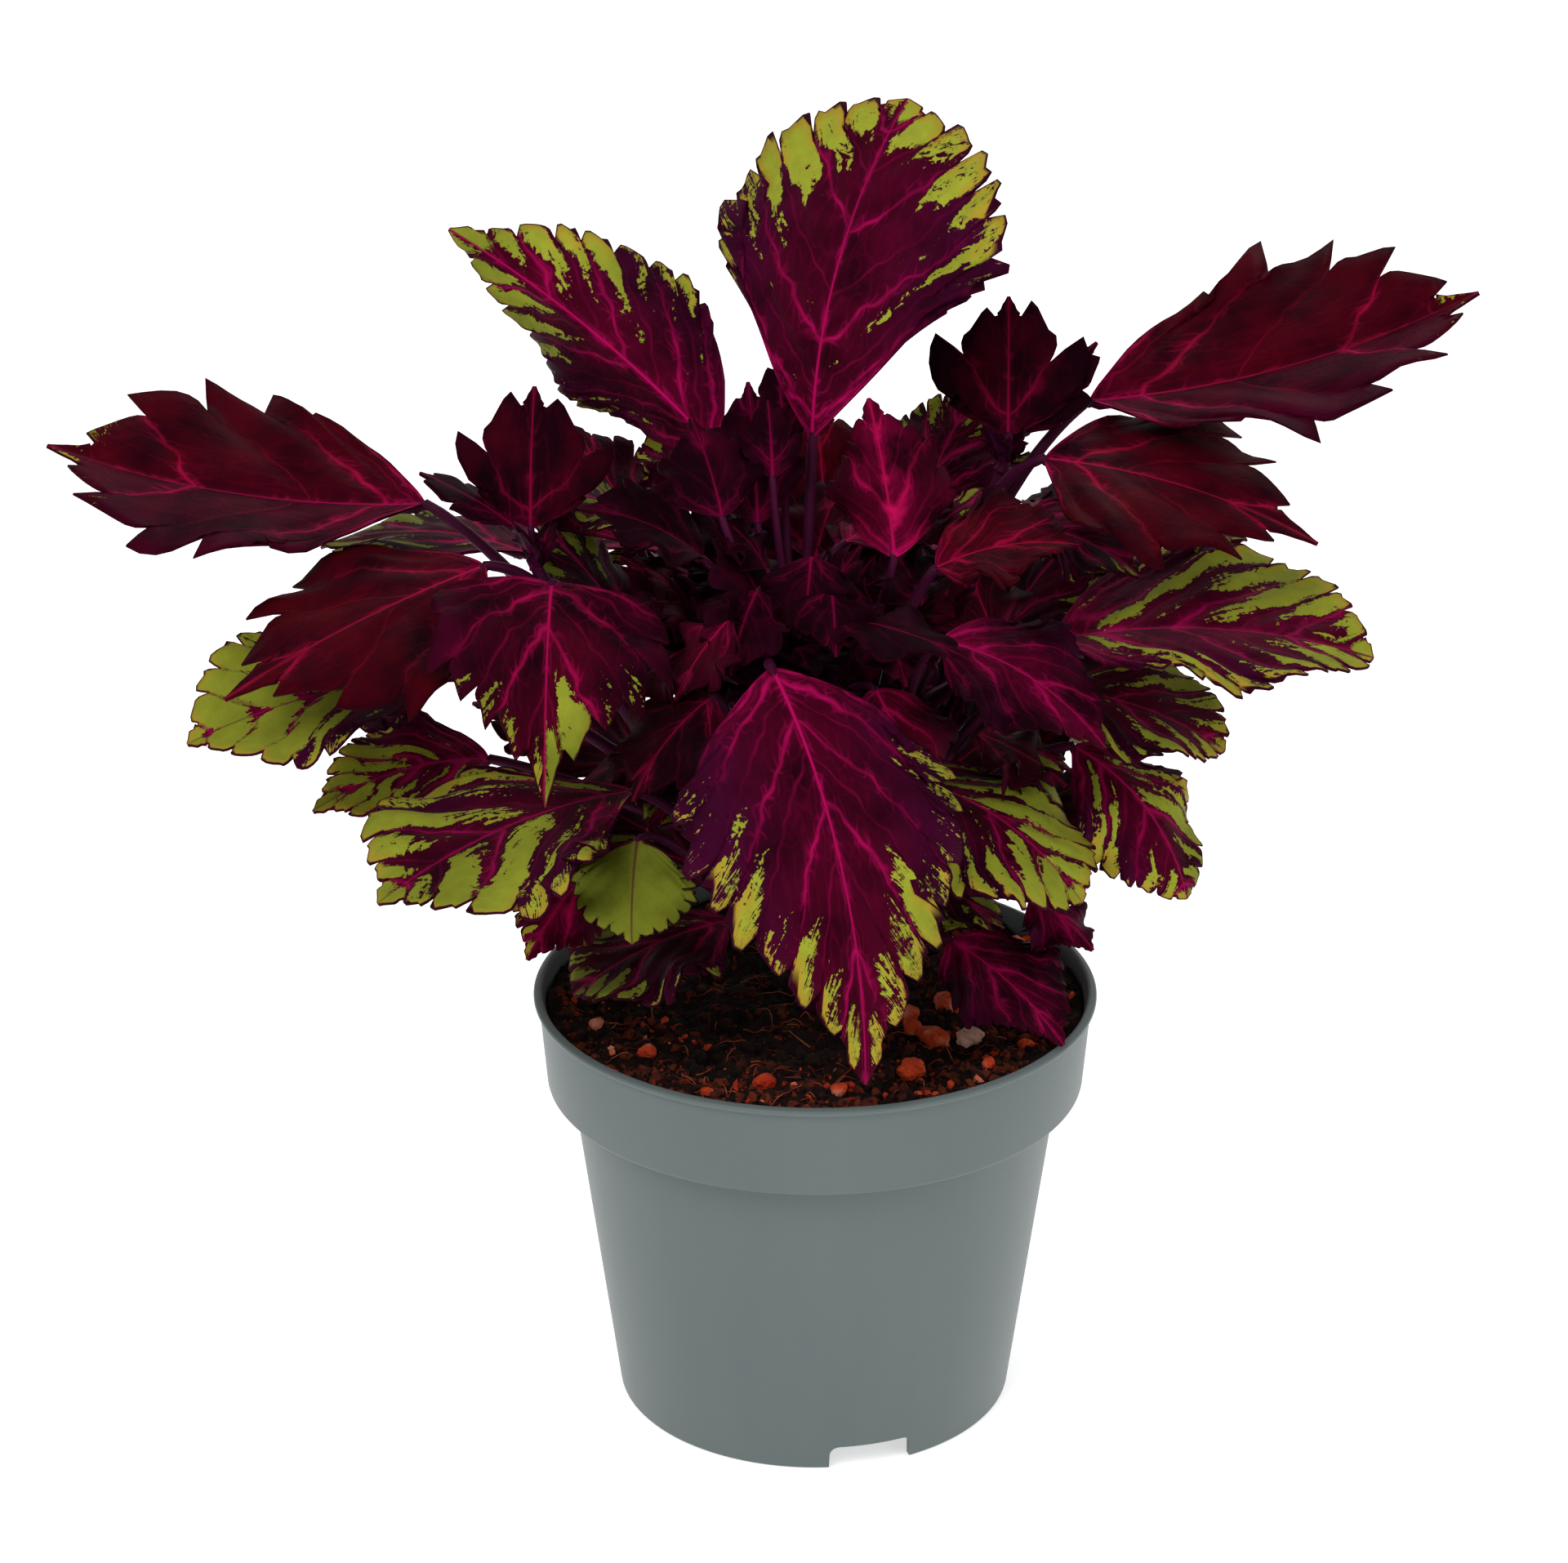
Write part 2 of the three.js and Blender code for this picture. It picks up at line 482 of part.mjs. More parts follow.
function leafSolid (row, seed, obstacle) {
  const frame = leafFrame(row)
  const blade = bladeSolid(row, frame, seed)
  return row.stem ? blade.add(petioleSolid(row, frame, obstacle)) : blade
}

const asRow = ([stem, share, base, tip, width, habit]) =>
  ({ ...HABIT, ...habit, stem, share, base: V(base), tip: V(tip), width })

// the youngest pair of leaves, at a shoot's very end
function tipRows (stem) {
  const base = CURVES[stem].getPoint(0.98)
  return [0, 180].map((turn) => {
    const heading = rad(TIP_PAIR.heading + turn)
    const level = TIP_PAIR.length * Math.cos(rad(TIP_PAIR.rise))
    const way = new THREE.Vector3(level * Math.cos(heading), level * Math.sin(heading),
      TIP_PAIR.length * Math.sin(rad(TIP_PAIR.rise)))
    return { ...HABIT, ...TINY, teeth: 1, arch: 30, base, tip: base.clone().add(way), width: TIP_PAIR.width }
  })
}

// ---- the plant, put together --------------------------------------------------------------------
const material = (color, roughness) =>
  new THREE.MeshStandardMaterial({ color, roughness, metalness: 0, flatShading: true })
const PLASTIC = material('#6f8180', 0.55)
const PEAT = material('#1d1310', 0.95)
const STEM = material('#4a1f45', 0.6)
const DARK_LEAF = material('#4a0a26', 0.5)
const YOUNG_LEAF = material('#33091c', 0.5)

const group = new THREE.Group()

function addMesh (name, solid, look) {
  const mesh = new THREE.Mesh(toGeometry(solid), look)
  mesh.name = name
  group.add(mesh)
}

addMesh('pot', potSolid(), PLASTIC)
addMesh('soil', soilSolid(), PEAT)

const stemNames = Object.keys(STEMS)
addMesh('stems', join(stemNames.map((k) => stemSolid(k, 0, STEMS[k].cut))), STEM)
const allStems = join(stemNames.map((k) => stemSolid(k, 0, 1, GAP)))

LEAVES.forEach(([name, ...rest], i) => {
  addMesh(`leaf_${name}`, largest(leafSolid(asRow(rest), 10 * i, allStems).subtract(allStems)), DARK_LEAF)
})

Object.entries(SMALL).forEach(([name, rows], i) => {
  const stem = name === 'centre' ? 'main' : name
  const own = stemSolid(stem, STEMS[stem].cut + 0.006, 1)
  const leaves = [...rows.map(asRow), ...tipRows(stem)]
    .map((row, k) => leafSolid(row, 1000 * i + 10 * k))
  addMesh(`shoot_tip_${name}`, join([own, ...leaves]), YOUNG_LEAF)
})

export default group
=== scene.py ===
# %% [markdown]
# # A coleus in its nursery pot
# The plant is a bushy bedding coleus: square violet stems, burgundy leaves with magenta veins and
# lime margins, moist peat, and a moulded pot. The frame that is loaded here fixes every size and
# place. The cells below replace its plain solids with finer pieces of the same form.

# %% Load the frame
import math

import bmesh
import bpy
import numpy as np
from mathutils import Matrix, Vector


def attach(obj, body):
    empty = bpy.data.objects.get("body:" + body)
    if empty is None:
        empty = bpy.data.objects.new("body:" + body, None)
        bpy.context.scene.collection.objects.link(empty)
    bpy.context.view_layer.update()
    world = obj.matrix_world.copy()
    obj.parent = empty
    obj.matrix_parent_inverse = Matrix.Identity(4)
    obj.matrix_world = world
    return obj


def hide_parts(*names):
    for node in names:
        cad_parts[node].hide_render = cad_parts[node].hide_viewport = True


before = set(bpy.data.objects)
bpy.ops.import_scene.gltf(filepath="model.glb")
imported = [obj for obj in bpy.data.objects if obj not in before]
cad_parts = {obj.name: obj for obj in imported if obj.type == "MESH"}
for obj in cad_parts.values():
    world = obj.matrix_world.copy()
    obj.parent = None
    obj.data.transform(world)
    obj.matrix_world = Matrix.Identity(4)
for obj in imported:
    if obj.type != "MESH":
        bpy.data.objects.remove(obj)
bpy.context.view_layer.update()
MM = 0.001  # the tables below are in millimetres, Blender's unit is the metre
print("nodes in the frame:", len(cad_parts))

# %% [markdown]
# ## Small helpers
# Colours are picked as sRGB hex values, because that is how a paint or leaf colour is noted down.
# Shaders calculate in linear light, so one function converts them. Another one adds a shader node
# with its settings and links, which keeps every material below a short list of steps.


# %% Colour, node and number helpers
def srgb(text):
    """A hex colour such as #6f7b7a as linear RGBA."""
    parts = [int(text[i : i + 2], 16) / 255 for i in (1, 3, 5)]
    linear = [c / 12.92 if c <= 0.04045 else ((c + 0.055) / 1.055) ** 2.4 for c in parts]
    return (*linear, 1.0)


def add(tree, kind, inputs=(), output=0, **settings):
    """Adds a shader node and gives one output; an input is a value or another node's output."""
    made = tree.nodes.new("ShaderNode" + kind)
    for key, value in settings.items():
        setattr(made, key, value)
    for key, value in inputs.items() if isinstance(inputs, dict) else enumerate(inputs):
        if isinstance(value, bpy.types.NodeSocket):
            tree.links.new(value, made.inputs[key])
        else:
            made.inputs[key].default_value = value
    return made.outputs[output] if made.outputs else made


def new_material(name):
    """An empty material with its Principled shader linked to the output."""
    made = bpy.data.materials.new(name)
    made.use_nodes = True
    made.node_tree.nodes.clear()
    surface = add(made.node_tree, "BsdfPrincipled")
    add(made.node_tree, "OutputMaterial", {"Surface": surface})
    return made, made.node_tree, surface.node


def draws(seed):
    """A repeatable stream of numbers from 0 to 1, by a common linear congruence."""
    state = seed
    while True:
        state = (state * 1664525 + 1013904223) % 2**32
        yield state / 2**32


def smooth(x, low, high):
    """0 below low, 1 above high, and a soft step between them."""
    t = np.clip((np.asarray(x, float) - low) / (high - low), 0, 1)
    return t * t * (3 - 2 * t)


def unit(v):
    """The same directions, each with length 1."""
    return v / np.linalg.norm(v, axis=-1, keepdims=True)


def direction(heading, rise):
    """The unit vector at a heading and at a rise above the horizon, both in degrees."""
    heading, rise = math.radians(heading), math.radians(rise)
    flat = math.cos(rise)
    return np.array([math.cos(heading) * flat, math.sin(heading) * flat, math.sin(rise)])


def round_angles(count):
    """The angles of so many even steps round a circle."""
    return np.arange(count) * 2 * math.pi / count


LATTICE_SIZE, LATTICE_START = 64, 100  # cells before the hills repeat, and the cell at the origin
LATTICE = np.random.default_rng(7).random((LATTICE_SIZE, LATTICE_SIZE))


def lumps(x, y, cell):
    """Smooth random hills about one cell wide, from -1 to 1."""
    gx, gy = x / cell + LATTICE_START, y / cell + LATTICE_START
    ix, iy = np.floor(gx).astype(int), np.floor(gy).astype(int)
    fx, fy = smooth(gx - ix, 0, 1), smooth(gy - iy, 0, 1)
    edges = []
    for row in (iy % LATTICE_SIZE, (iy + 1) % LATTICE_SIZE):
        left, right = LATTICE[ix % LATTICE_SIZE, row], LATTICE[(ix + 1) % LATTICE_SIZE, row]
        edges.append(left * (1 - fx) + right * fx)
    return 2 * (edges[0] * (1 - fy) + edges[1] * fy) - 1


def put(name, data):
    """A new object in the scene with this mesh, lamp or camera."""
    made = bpy.data.objects.new(name, data)
    bpy.context.scene.collection.objects.link(made)
    return made


print("mid grey in linear light:", [round(c, 3) for c in srgb("#808080")])

# %% [markdown]
# ## From points to a piece
# Leaves, stems and crumbs are all worked out as NumPy arrays, then handed to Blender in one go.
# A mesh can carry named numbers at its points. The leaf shader reads them to know where the
# midrib, the side veins and the margin are, so the pattern follows the leaf and not the camera.


# %% Mesh maker
class Parts:
    """Collects points, faces, material numbers and fields of one piece before it is made."""

    def __init__(self):
        self.points, self.faces, self.slots, self.fields, self.uv = [], [], [], {}, []
        self.count = 0

    def take(self, points, faces, slot=0, uv=None, **fields):
        """Adds points in millimetres; a field that is left out is 0 there."""
        n = len(points)
        self.points.append(points)
        self.faces += [[i + self.count for i in f] for f in faces]
        self.slots += list(slot) if hasattr(slot, "__len__") else [slot] * len(faces)
        self.uv.append(np.zeros((n, 2)) if uv is None else uv)
        for key in set(self.fields) | set(fields):
            column = self.fields.setdefault(key, [np.zeros(self.count)])
            column.append(np.broadcast_to(fields.get(key, 0.0), n).astype(float))
        self.count += n

    def make(self, name, materials, smooth_faces=True):
        """Turns all that was taken into one object that rides on the plant."""
        mesh = bpy.data.meshes.new(name)
        mesh.from_pydata((np.concatenate(self.points) * MM).tolist(), [], self.faces)
        for m in materials:
            mesh.materials.append(m)
        mesh.polygons.foreach_set("material_index", self.slots)
        mesh.polygons.foreach_set("use_smooth", [smooth_faces] * len(self.faces))
        for key, column in self.fields.items():
            layer = mesh.attributes.new(key, "FLOAT", "POINT")
            layer.data.foreach_set("value", np.concatenate(column).astype(np.float32))
        corner = np.zeros(len(mesh.loops), np.int32)
        mesh.loops.foreach_get("vertex_index", corner)
        uv = np.concatenate(self.uv)[corner]
        mesh.uv_layers.new(name="flat").data.foreach_set("uv", uv.astype(np.float32).ravel())
        mesh.update()
        made = put(name, mesh)
        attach(made, "root")
        return made


def grid_faces(rows, columns):
    """Quads of a grid of points, seen from the side where columns run to the right."""
    i = np.arange(rows * columns).reshape(rows, columns)
    return np.stack([i[:-1, :-1], i[:-1, 1:], i[1:, 1:], i[1:, :-1]], -1).reshape(-1, 4).tolist()


def ring_faces(rings, sides):
    """Faces of a round body made of rings of points, with a cap on the first and the last ring."""
    faces = []
    for j in range(rings - 1):
        for k in range(sides):
            a, b = j * sides + k, j * sides + (k + 1) % sides
            faces.append([a, b, b + sides, a + sides])
    last = (rings - 1) * sides
    return faces + [list(range(sides))[::-1], [last + k for k in range(sides)]]


OFF_AXIS = [0.3, 1, 0.1]  # a direction that no stalk starts along


def tube(path, radii, sides=8, square=0.0):
    """Points and faces of a closed tube; square above 0 pulls the section towards a square."""
    path = np.asarray(path, float)
    along = unit(np.gradient(path, axis=0))
    across = np.cross(along[0], OFF_AXIS)
    angle = round_angles(sides)
    shape = (np.abs(np.cos(angle)) ** 4 + np.abs(np.sin(angle)) ** 4) ** (-0.25 * square)
    rings = []
    for p, a, r in zip(path, along, radii):
        across = unit(across - a * (across @ a))
        circle = np.outer(np.cos(angle), across) + np.outer(np.sin(angle), np.cross(a, across))
        rings.append(p + r * shape[:, None] * circle)
    return np.concatenate(rings), ring_faces(len(path), sides)


print("mesh helpers ready")

# %% [markdown]
# ## Camera, floor and light
# A product picture of a plant is taken from a little above the rim with a long lens, so the pot's
# sides stay nearly parallel. The light is one large soft source above and in front, with weaker
# ones at the sides: shiny leaves then show broad, gentle highlights.

# %% Camera
IMAGE_WIDTH = 1920
FOCAL_PIXELS = 5605
POT_AXIS_OFFSET = 42  # pixels that the pot's axis lies right of the middle
PITCH = 22.68  # degrees that the camera looks down
CAMERA_PLACE = (0, -0.884, 0.510)  # metres: in front of the pot's axis, and above its foot
camera_data = bpy.data.cameras.new("camera")
camera_data.sensor_width = 36
camera_data.lens = FOCAL_PIXELS / IMAGE_WIDTH * camera_data.sensor_width
camera_data.dof.use_dof = False
camera = put("camera", camera_data)
camera.location = CAMERA_PLACE
camera.rotation_euler = (math.radians(90 - PITCH), 0, math.atan(POT_AXIS_OFFSET / FOCAL_PIXELS))
bpy.context.scene.camera = camera
print("lens:", round(camera_data.lens, 1), "mm")

# %% [markdown]
# The pot stands on matt white paper. A little light of its own keeps the paper white out to the
# picture's edges, where the lamps no longer reach it.

# %% White paper
REACH = 6.0  # metres from the pot to each edge of the paper
corners = [(-REACH, -REACH, 0), (REACH, -REACH, 0), (REACH, REACH, 0), (-REACH, REACH, 0)]
floor_mesh = bpy.data.meshes.new("floor")
floor_mesh.from_pydata(corners, [], [(0, 1, 2, 3)])
put("floor", floor_mesh)
paper, tree, shader = new_material("matt white paper")
shader.inputs["Base Color"].default_value = srgb("#f4f4f4")
shader.inputs["Roughness"].default_value = 0.9
shader.inputs["Emission Color"].default_value = srgb("#ffffff")
shader.inputs["Emission Strength"].default_value = 0.55
floor_mesh.materials.append(paper)
print("floor:", 2 * REACH, "m wide")

# %% World and lights
world = bpy.data.worlds.new("studio")
world.use_nodes = True
world.node_tree.nodes["Background"].inputs["Color"].default_value = srgb("#ffffff")
world.node_tree.nodes["Background"].inputs["Strength"].default_value = 0.5
bpy.context.scene.world = world
bpy.context.scene.view_settings.view_transform = "Standard"

PLANT_MIDDLE = Vector((0, 0, 0.15))
LIGHTS = {  # place and size in metres, watts
    "key": ((-0.5, -0.9, 1.3), 0.7, 10),
    "fill_right": ((1.1, -0.7, 0.7), 0.9, 3.5),
    "rim_back": ((0.2, 1.0, 1.1), 0.8, 4),
}
for name, (place, size, watts) in LIGHTS.items():
    lamp = bpy.data.lights.new(name, "AREA")
    lamp.size = size
    lamp.energy = watts
    light = put(name, lamp)
    light.location = place
    light.rotation_euler = (PLANT_MIDDLE - Vector(place)).to_track_quat("-Z", "Y").to_euler()
print("lights:", len(LIGHTS))

# %% [markdown]
# ## Stems and leaves as tables
# A gardener would describe the plant as a main stem with side shoots, and leaves that each sit
# somewhere on one of them. The tables say the same: a stem is a curve through three points, and a
# leaf is where its blade starts and ends, how wide it is and how it bends.

# %% Stem table
STEMS = {  # start, middle, end, half of the section at both ends, where the young shoot begins
    "main": ([0, 0, 64], [-1, 0, 122], [-5, 0, 176], 2.6, 2.1, 0.86),
    "left": ([-1, 0, 112], [-30, 3, 142], [-59, 6, 188], 1.9, 1.4, 0.93),
    "right": ([-1, 0, 116], [20, 16, 152], [40, 26, 204], 1.9, 1.4, 0.93),
    "back_left": ([0, 0, 104], [-22, 28, 130], [-30, 44, 166], 1.8, 1.3, 0.9),
    "back_right": ([0, 0, 108], [22, 34, 132], [26, 52, 168], 1.8, 1.3, 0.9),
    "front_left": ([0, 0, 98], [-16, -14, 118], [-24, -22, 146], 1.8, 1.3, 0.77),
    "front_right": ([0, 0, 100], [16, 0, 122], [27, -2, 152], 1.8, 1.3, 0.72),
}


def bend(a, control, b, f):
    """Points of a quadratic curve at shares f of its length."""
    f = np.asarray(f, float)[..., None]
    a, control, b = (np.array(p, float) for p in (a, control, b))
    return (1 - f) ** 2 * a + 2 * f * (1 - f) * control + f * f * b


def stem_point(name, f):
    """Points of a stem at shares f of its length."""
    a, middle, b = (np.array(p, float) for p in STEMS[name][:3])
    return bend(a, 2 * middle - a / 2 - b / 2, b, f)


print("stems:", len(STEMS))

# %% [markdown]
# Leaves of one plant share a habit, and differ with age and light. The habit is one set of
# numbers, and a leaf names only what is different about it. A look says in the same way how much
# lime, magenta or near-black a leaf shows, so that one skin material serves them all.

# %% Leaf habits
# arch: degrees that the blade bends over from base to tip, twist: its roll about the midrib,
# left, right: degrees that each half folds up, teeth: number of large teeth on a side, depth: their
# height as a share of the width, belly: where the blade is widest, full: how soon it narrows from
# there, start: where the teeth begin, hook: how far they lean forward, curl: how far the margin
# turns down, wave: millimetres that it ripples, round: 1 for rounded and 0 for pointed teeth,
# apex: how far the tip is drawn out
HABIT = dict(arch=35, twist=0, left=0, right=0, teeth=6, depth=0.075, belly=0.45, full=1.9,
             start=0.26, hook=0.35, curl=0.2, wave=2.2, round=1.0, apex=0.15)
BACK = dict(arch=45, teeth=5)
RISING = dict(arch=25, teeth=4)
YOUNG = dict(teeth=4, depth=0.14, start=0.38, hook=0.5, round=0.25, apex=0.3)
BLUNT = dict(belly=0.58, full=1.4)
OVAL = dict(belly=0.52, full=1.45, apex=0.05)
TINY = dict(teeth=2, depth=0.2, start=0.25, hook=0.4, wave=0.5, round=0.3)
DARK_LEAF = dict(teeth=3, depth=0.13, arch=25, round=0.4)  # the dark leaves between the shoots
print("measures of a habit:", len(HABIT))

# %% Looks
# cover: how surely the margin is lime, spread: how much that differs from one tooth to the next,
# reach: how many millimetres inwards, tipwards: more lime to the tip, glow: magenta along the
# midrib, shade: 0 mature burgundy, 1 near-black, partly the dark of young leaves and partly painted
# shade on leaves deep in the plant or under others, red: wine red to the margin, vivid: how
# strongly the side veins show, rib: how strongly the midrib shows
PLAIN = dict(cover=-9, spread=0, reach=8, tipwards=0, glow=0.3, shade=0.3, red=0.0, vivid=0.9, rib=1.0)
LOOKS = {
    "patched": dict(PLAIN, cover=0.1, spread=0.75, reach=7.5, tipwards=1.3, glow=0.1, shade=0.1),
    "striped": dict(PLAIN, cover=0.65, spread=0.8, reach=11, tipwards=0.9, shade=0.25, vivid=0.8),
    "lime": dict(PLAIN, cover=1.1, spread=0.7, reach=14, tipwards=0.3, shade=0.2, vivid=0.8),
    "edged": dict(PLAIN, cover=0.45, spread=0.8, reach=7.5, tipwards=0.8, glow=0.15, shade=0.6),
    "tipped": dict(PLAIN, cover=-0.3, spread=0.7, reach=10, tipwards=3.2, red=0.3, shade=0.45),
    "young": dict(PLAIN, cover=-2.3, spread=0.5, reach=5, tipwards=5.5, red=0.9, rib=0.7),
    "violet": dict(PLAIN, cover=-2.3, spread=0.5, reach=5, tipwards=5.5, red=0.35, rib=0.7),
    "dark": dict(PLAIN, glow=0.2, shade=0.36, red=1.0, vivid=0.8),
    # painted shade: the leaves inside the plant are darkened in colour, as they lie in shade
    "shaded": dict(PLAIN, glow=0.3, shade=0.55, red=0.4, vivid=0.75, rib=0.9),
    "dusky": dict(PLAIN, glow=0.1, shade=0.8, red=0.7, vivid=0.45, rib=0.5),
    # near-black of the youngest leaves, and painted shade where leaves in the plant's middle use it
    "black": dict(PLAIN, glow=0.05, shade=1.0, vivid=0.25, rib=0.35),
    "blotched": dict(PLAIN, cover=0.7, spread=0.8, reach=22, tipwards=2.5, glow=1.7, shade=0.2),
    "blazing": dict(PLAIN, cover=0.75, spread=0.8, reach=12, tipwards=0.9, glow=2.0, shade=0.1),
    # painted shade: the hanging leaf's lime is darkened to moss green, as it hangs under other leaves
    "green": dict(PLAIN, cover=3.4, reach=60, glow=0, shade=0.95, vivid=0.15),
    "spot": dict(PLAIN, glow=1.2, shade=0.6),
    "bright": dict(PLAIN, glow=2.6, shade=0.45, vivid=1.0, red=0.45),
    "bright_edged": dict(PLAIN, cover=0.9, spread=0.4, reach=4, glow=2.2, shade=0.1),
}
print("looks:", ", ".join(LOOKS))

# %% Leaf table
LEAVES = [  # name, stem, where on it, blade base, blade tip, width, habit, look of left/right half
    ("top", "main", 0.8, [-1, 14, 211], [18, 40, 275], 64,
     dict(arch=50, belly=0.64, full=2.4, teeth=6, depth=0.1, start=0.42, apex=0.05), "patched"),
    ("upper_left", "main", 0.55, [-20, 12, 209], [-74, 36, 248], 41,
     dict(arch=25, teeth=7, twist=-45, left=-65), "striped"),
    ("far_left", "left", 0.45, [-82, 26, 193], [-155, 34, 200], 54,
     dict(arch=-22, right=34, **YOUNG, **BLUNT), "violet/young"),
    ("left", "left", 0.85, [-68, 2, 188], [-113, -22, 172], 54,
     dict(YOUNG, arch=12, left=-15, right=10, teeth=3), "dark"),
    ("left_front", "left", 0.8, [-54, -6, 187], [-54, -42, 160], 49,
     dict(arch=60, right=20, belly=0.34, full=1.8, **YOUNG), "tipped"),
    ("low_left_outer", "left", 0.3, [-74, 8, 162], [-127, -10, 154], 40,
     dict(arch=25, right=35, left=-5, belly=0.6, full=1.6), "blotched"),
    ("low_left_pale", "left", 0.2, [-69, 14, 140], [-104, 4, 133], 32,
     dict(right=25, left=-15), "blotched"),
    ("low_left", "front_left", 0.6, [-37, -20, 147], [-84, -49, 137], 58,
     dict(arch=30, right=5, left=5, belly=0.66), "striped"),
    ("pot_edge_left", "front_left", 0.36, [-42, -25, 135], [-58, -37, 118], 22,
     dict(right=25, left=-25), "bright/lime"),
    # the hanging leaf's moss green is painted shade: it lies under the leaves above
    ("hanging", "front_left", 0.52, [-36, -34, 142], [-37, -44, 125], 24,
     dict(arch=70, belly=0.55, full=1.6), "green"),
    ("soil_left", "front_left", 0.25, [-18, -16, 116], [-49, -30, 106], 44,
     dict(arch=30, left=10, **OVAL), "edged"),
    ("front", "main", 0.78, [-9, -25, 176], [10, -64, 106], 55,
     dict(arch=60, belly=0.4, full=2.3, teeth=6, depth=0.12), "patched"),
    ("front_right", "front_right", 0.5, [17, -9, 146], [54, -27, 126], 48,
     dict(arch=50, depth=0.09, **OVAL), "lime"),
    ("pot_edge_right", "front_right", 0.3, [45, -9, 118], [57, -17, 111], 20,
     dict(left=-10, right=-10, teeth=5), "spot"),
    ("soil_right", "front_right", 0.15, [28, -14, 111], [50, -32, 97], 30, dict(arch=30, left=10), "spot"),
    ("low_right", "front_right", 0.6, [42, 4, 160], [84, -4, 150], 46,
     dict(arch=40, left=15, right=5, **OVAL), "striped"),
    ("low_right_outer", "front_right", 0.42, [54, 10, 145], [78, -3, 116], 30,
     dict(arch=60, left=5, right=-35, **OVAL), "striped"),
    ("right_striped", "right", 0.45, [49, 4, 171], [114, 0, 169], 54,
     dict(arch=30, teeth=7, left=25, right=5, **OVAL), "blazing"),
    ("right", "right", 0.85, [47, 18, 206], [96, 4, 196], 54,
     dict(YOUNG, arch=22, left=18, right=-8, teeth=3), "dark"),
    ("far_right", "right", 0.62, [57, 35, 213], [131, 38, 232], 54,
     dict(arch=-22, left=40, **YOUNG, **BLUNT), "young/violet"),
    ("centre_right", "right", 0.3, [24, -8, 191], [51, -10, 197], 30, dict(left=30, teeth=5), "dark"),
    ("centre_front", "front_right", 0.58, [25, -12, 177], [57, -26, 161], 32,
     dict(arch=45, left=20, right=-10, teeth=5), "spot"),
    ("bright", "main", 0.8, [16, -5, 192], [11, 5, 221], 27,
     dict(arch=20, right=10, left=-60, teeth=4), "bright"),
    ("behind_right", "back_right", 0.7, [22, 36, 189], [34, 56, 208], 36, dict(arch=20), "edged"),
    ("behind_left", "back_left", 0.8, [-28, 20, 187], [-54, 24, 197], 28, dict(arch=20), "edged"),
    ("bright_left", "back_left", 0.72, [-24, 36, 190], [-32, 46, 206], 24,
     dict(arch=20, teeth=4), "bright_edged"),
    ("inner_right", "right", 0.36, [42, 10, 194], [65, 5, 186], 32, dict(arch=40, left=20), "edged"),
    ("back_1", "back_left", 0.76, [-34, 58, 171], [-56, 100, 157], 46, BACK, "patched"),
    ("back_2", "back_left", 0.64, [-24, 60, 166], [-20, 109, 148], 46, BACK, "striped"),
    ("back_3", "back_right", 0.5, [44, 58, 168], [84, 84, 156], 46, BACK, "striped"),
    ("back_4", "back_right", 0.58, [19, 72, 170], [21, 116, 147], 44, BACK, "patched"),
    ("back_5", "main", 0.5, [3, 36, 168], [0, 66, 200], 40, RISING, "dark"),
    ("back_6", "back_left", 0.5, [-62, 40, 177], [-106, 62, 171], 46, dict(left=10, teeth=5), "edged"),
    ("back_7", "right", 0.57, [46, 38, 184], [92, 72, 170], 48, dict(arch=35), "tipped"),
    ("back_8", "back_left", 0.4, [-24, 40, 130], [-60, 84, 114], 40, BACK, "lime"),
    ("back_9", "back_right", 0.4, [26, 44, 132], [62, 86, 116], 40, BACK, "striped"),
    ("back_10", "main", 0.3, [0, 30, 116], [2, 92, 106], 44, BACK, "edged"),
    # the inner leaves' shaded and black looks are painted shade of the plant's middle
    ("inner_1", "back_left", 0.57, [-38, 42, 178], [-52, 58, 198], 32, RISING, "shaded"),
    ("inner_2", "back_right", 0.3, [10, 25, 140], [17, 40, 176], 26, RISING, "shaded"),
    ("inner_3", "right", 0.5, [38, 34, 158], [58, 46, 181], 38, RISING, "edged"),
    ("inner_4", "back_left", 0.3, [-36, 25, 134], [-72, 37, 143], 34, RISING, "shaded"),
    ("inner_5", "right", 0.22, [26, 24, 131], [57, 38, 146], 36, RISING, "shaded"),
    ("inner_6", "main", 0.42, [-12, 14, 154], [-15, 33, 186], 24, RISING, "black"),
    ("inner_7", "back_left", 0.45, [-36, 26, 158], [-59, 38, 184], 30, RISING, "edged"),
    ("inner_8", "front_left", 0.15, [-20, 10, 112], [-50, 24, 126], 30, RISING, "edged"),
    ("inner_9", "front_right", 0.2, [30, 12, 116], [62, 23, 133], 34, RISING, "shaded"),
    ("inner_10", "main", 0.34, [-11, 13, 137], [-29, 22, 168], 30, RISING, "shaded"),
    ("centre_low", "main", 0.7, [12, -16, 168], [20, -29, 148], 26, dict(arch=40, teeth=4), "shaded"),
]
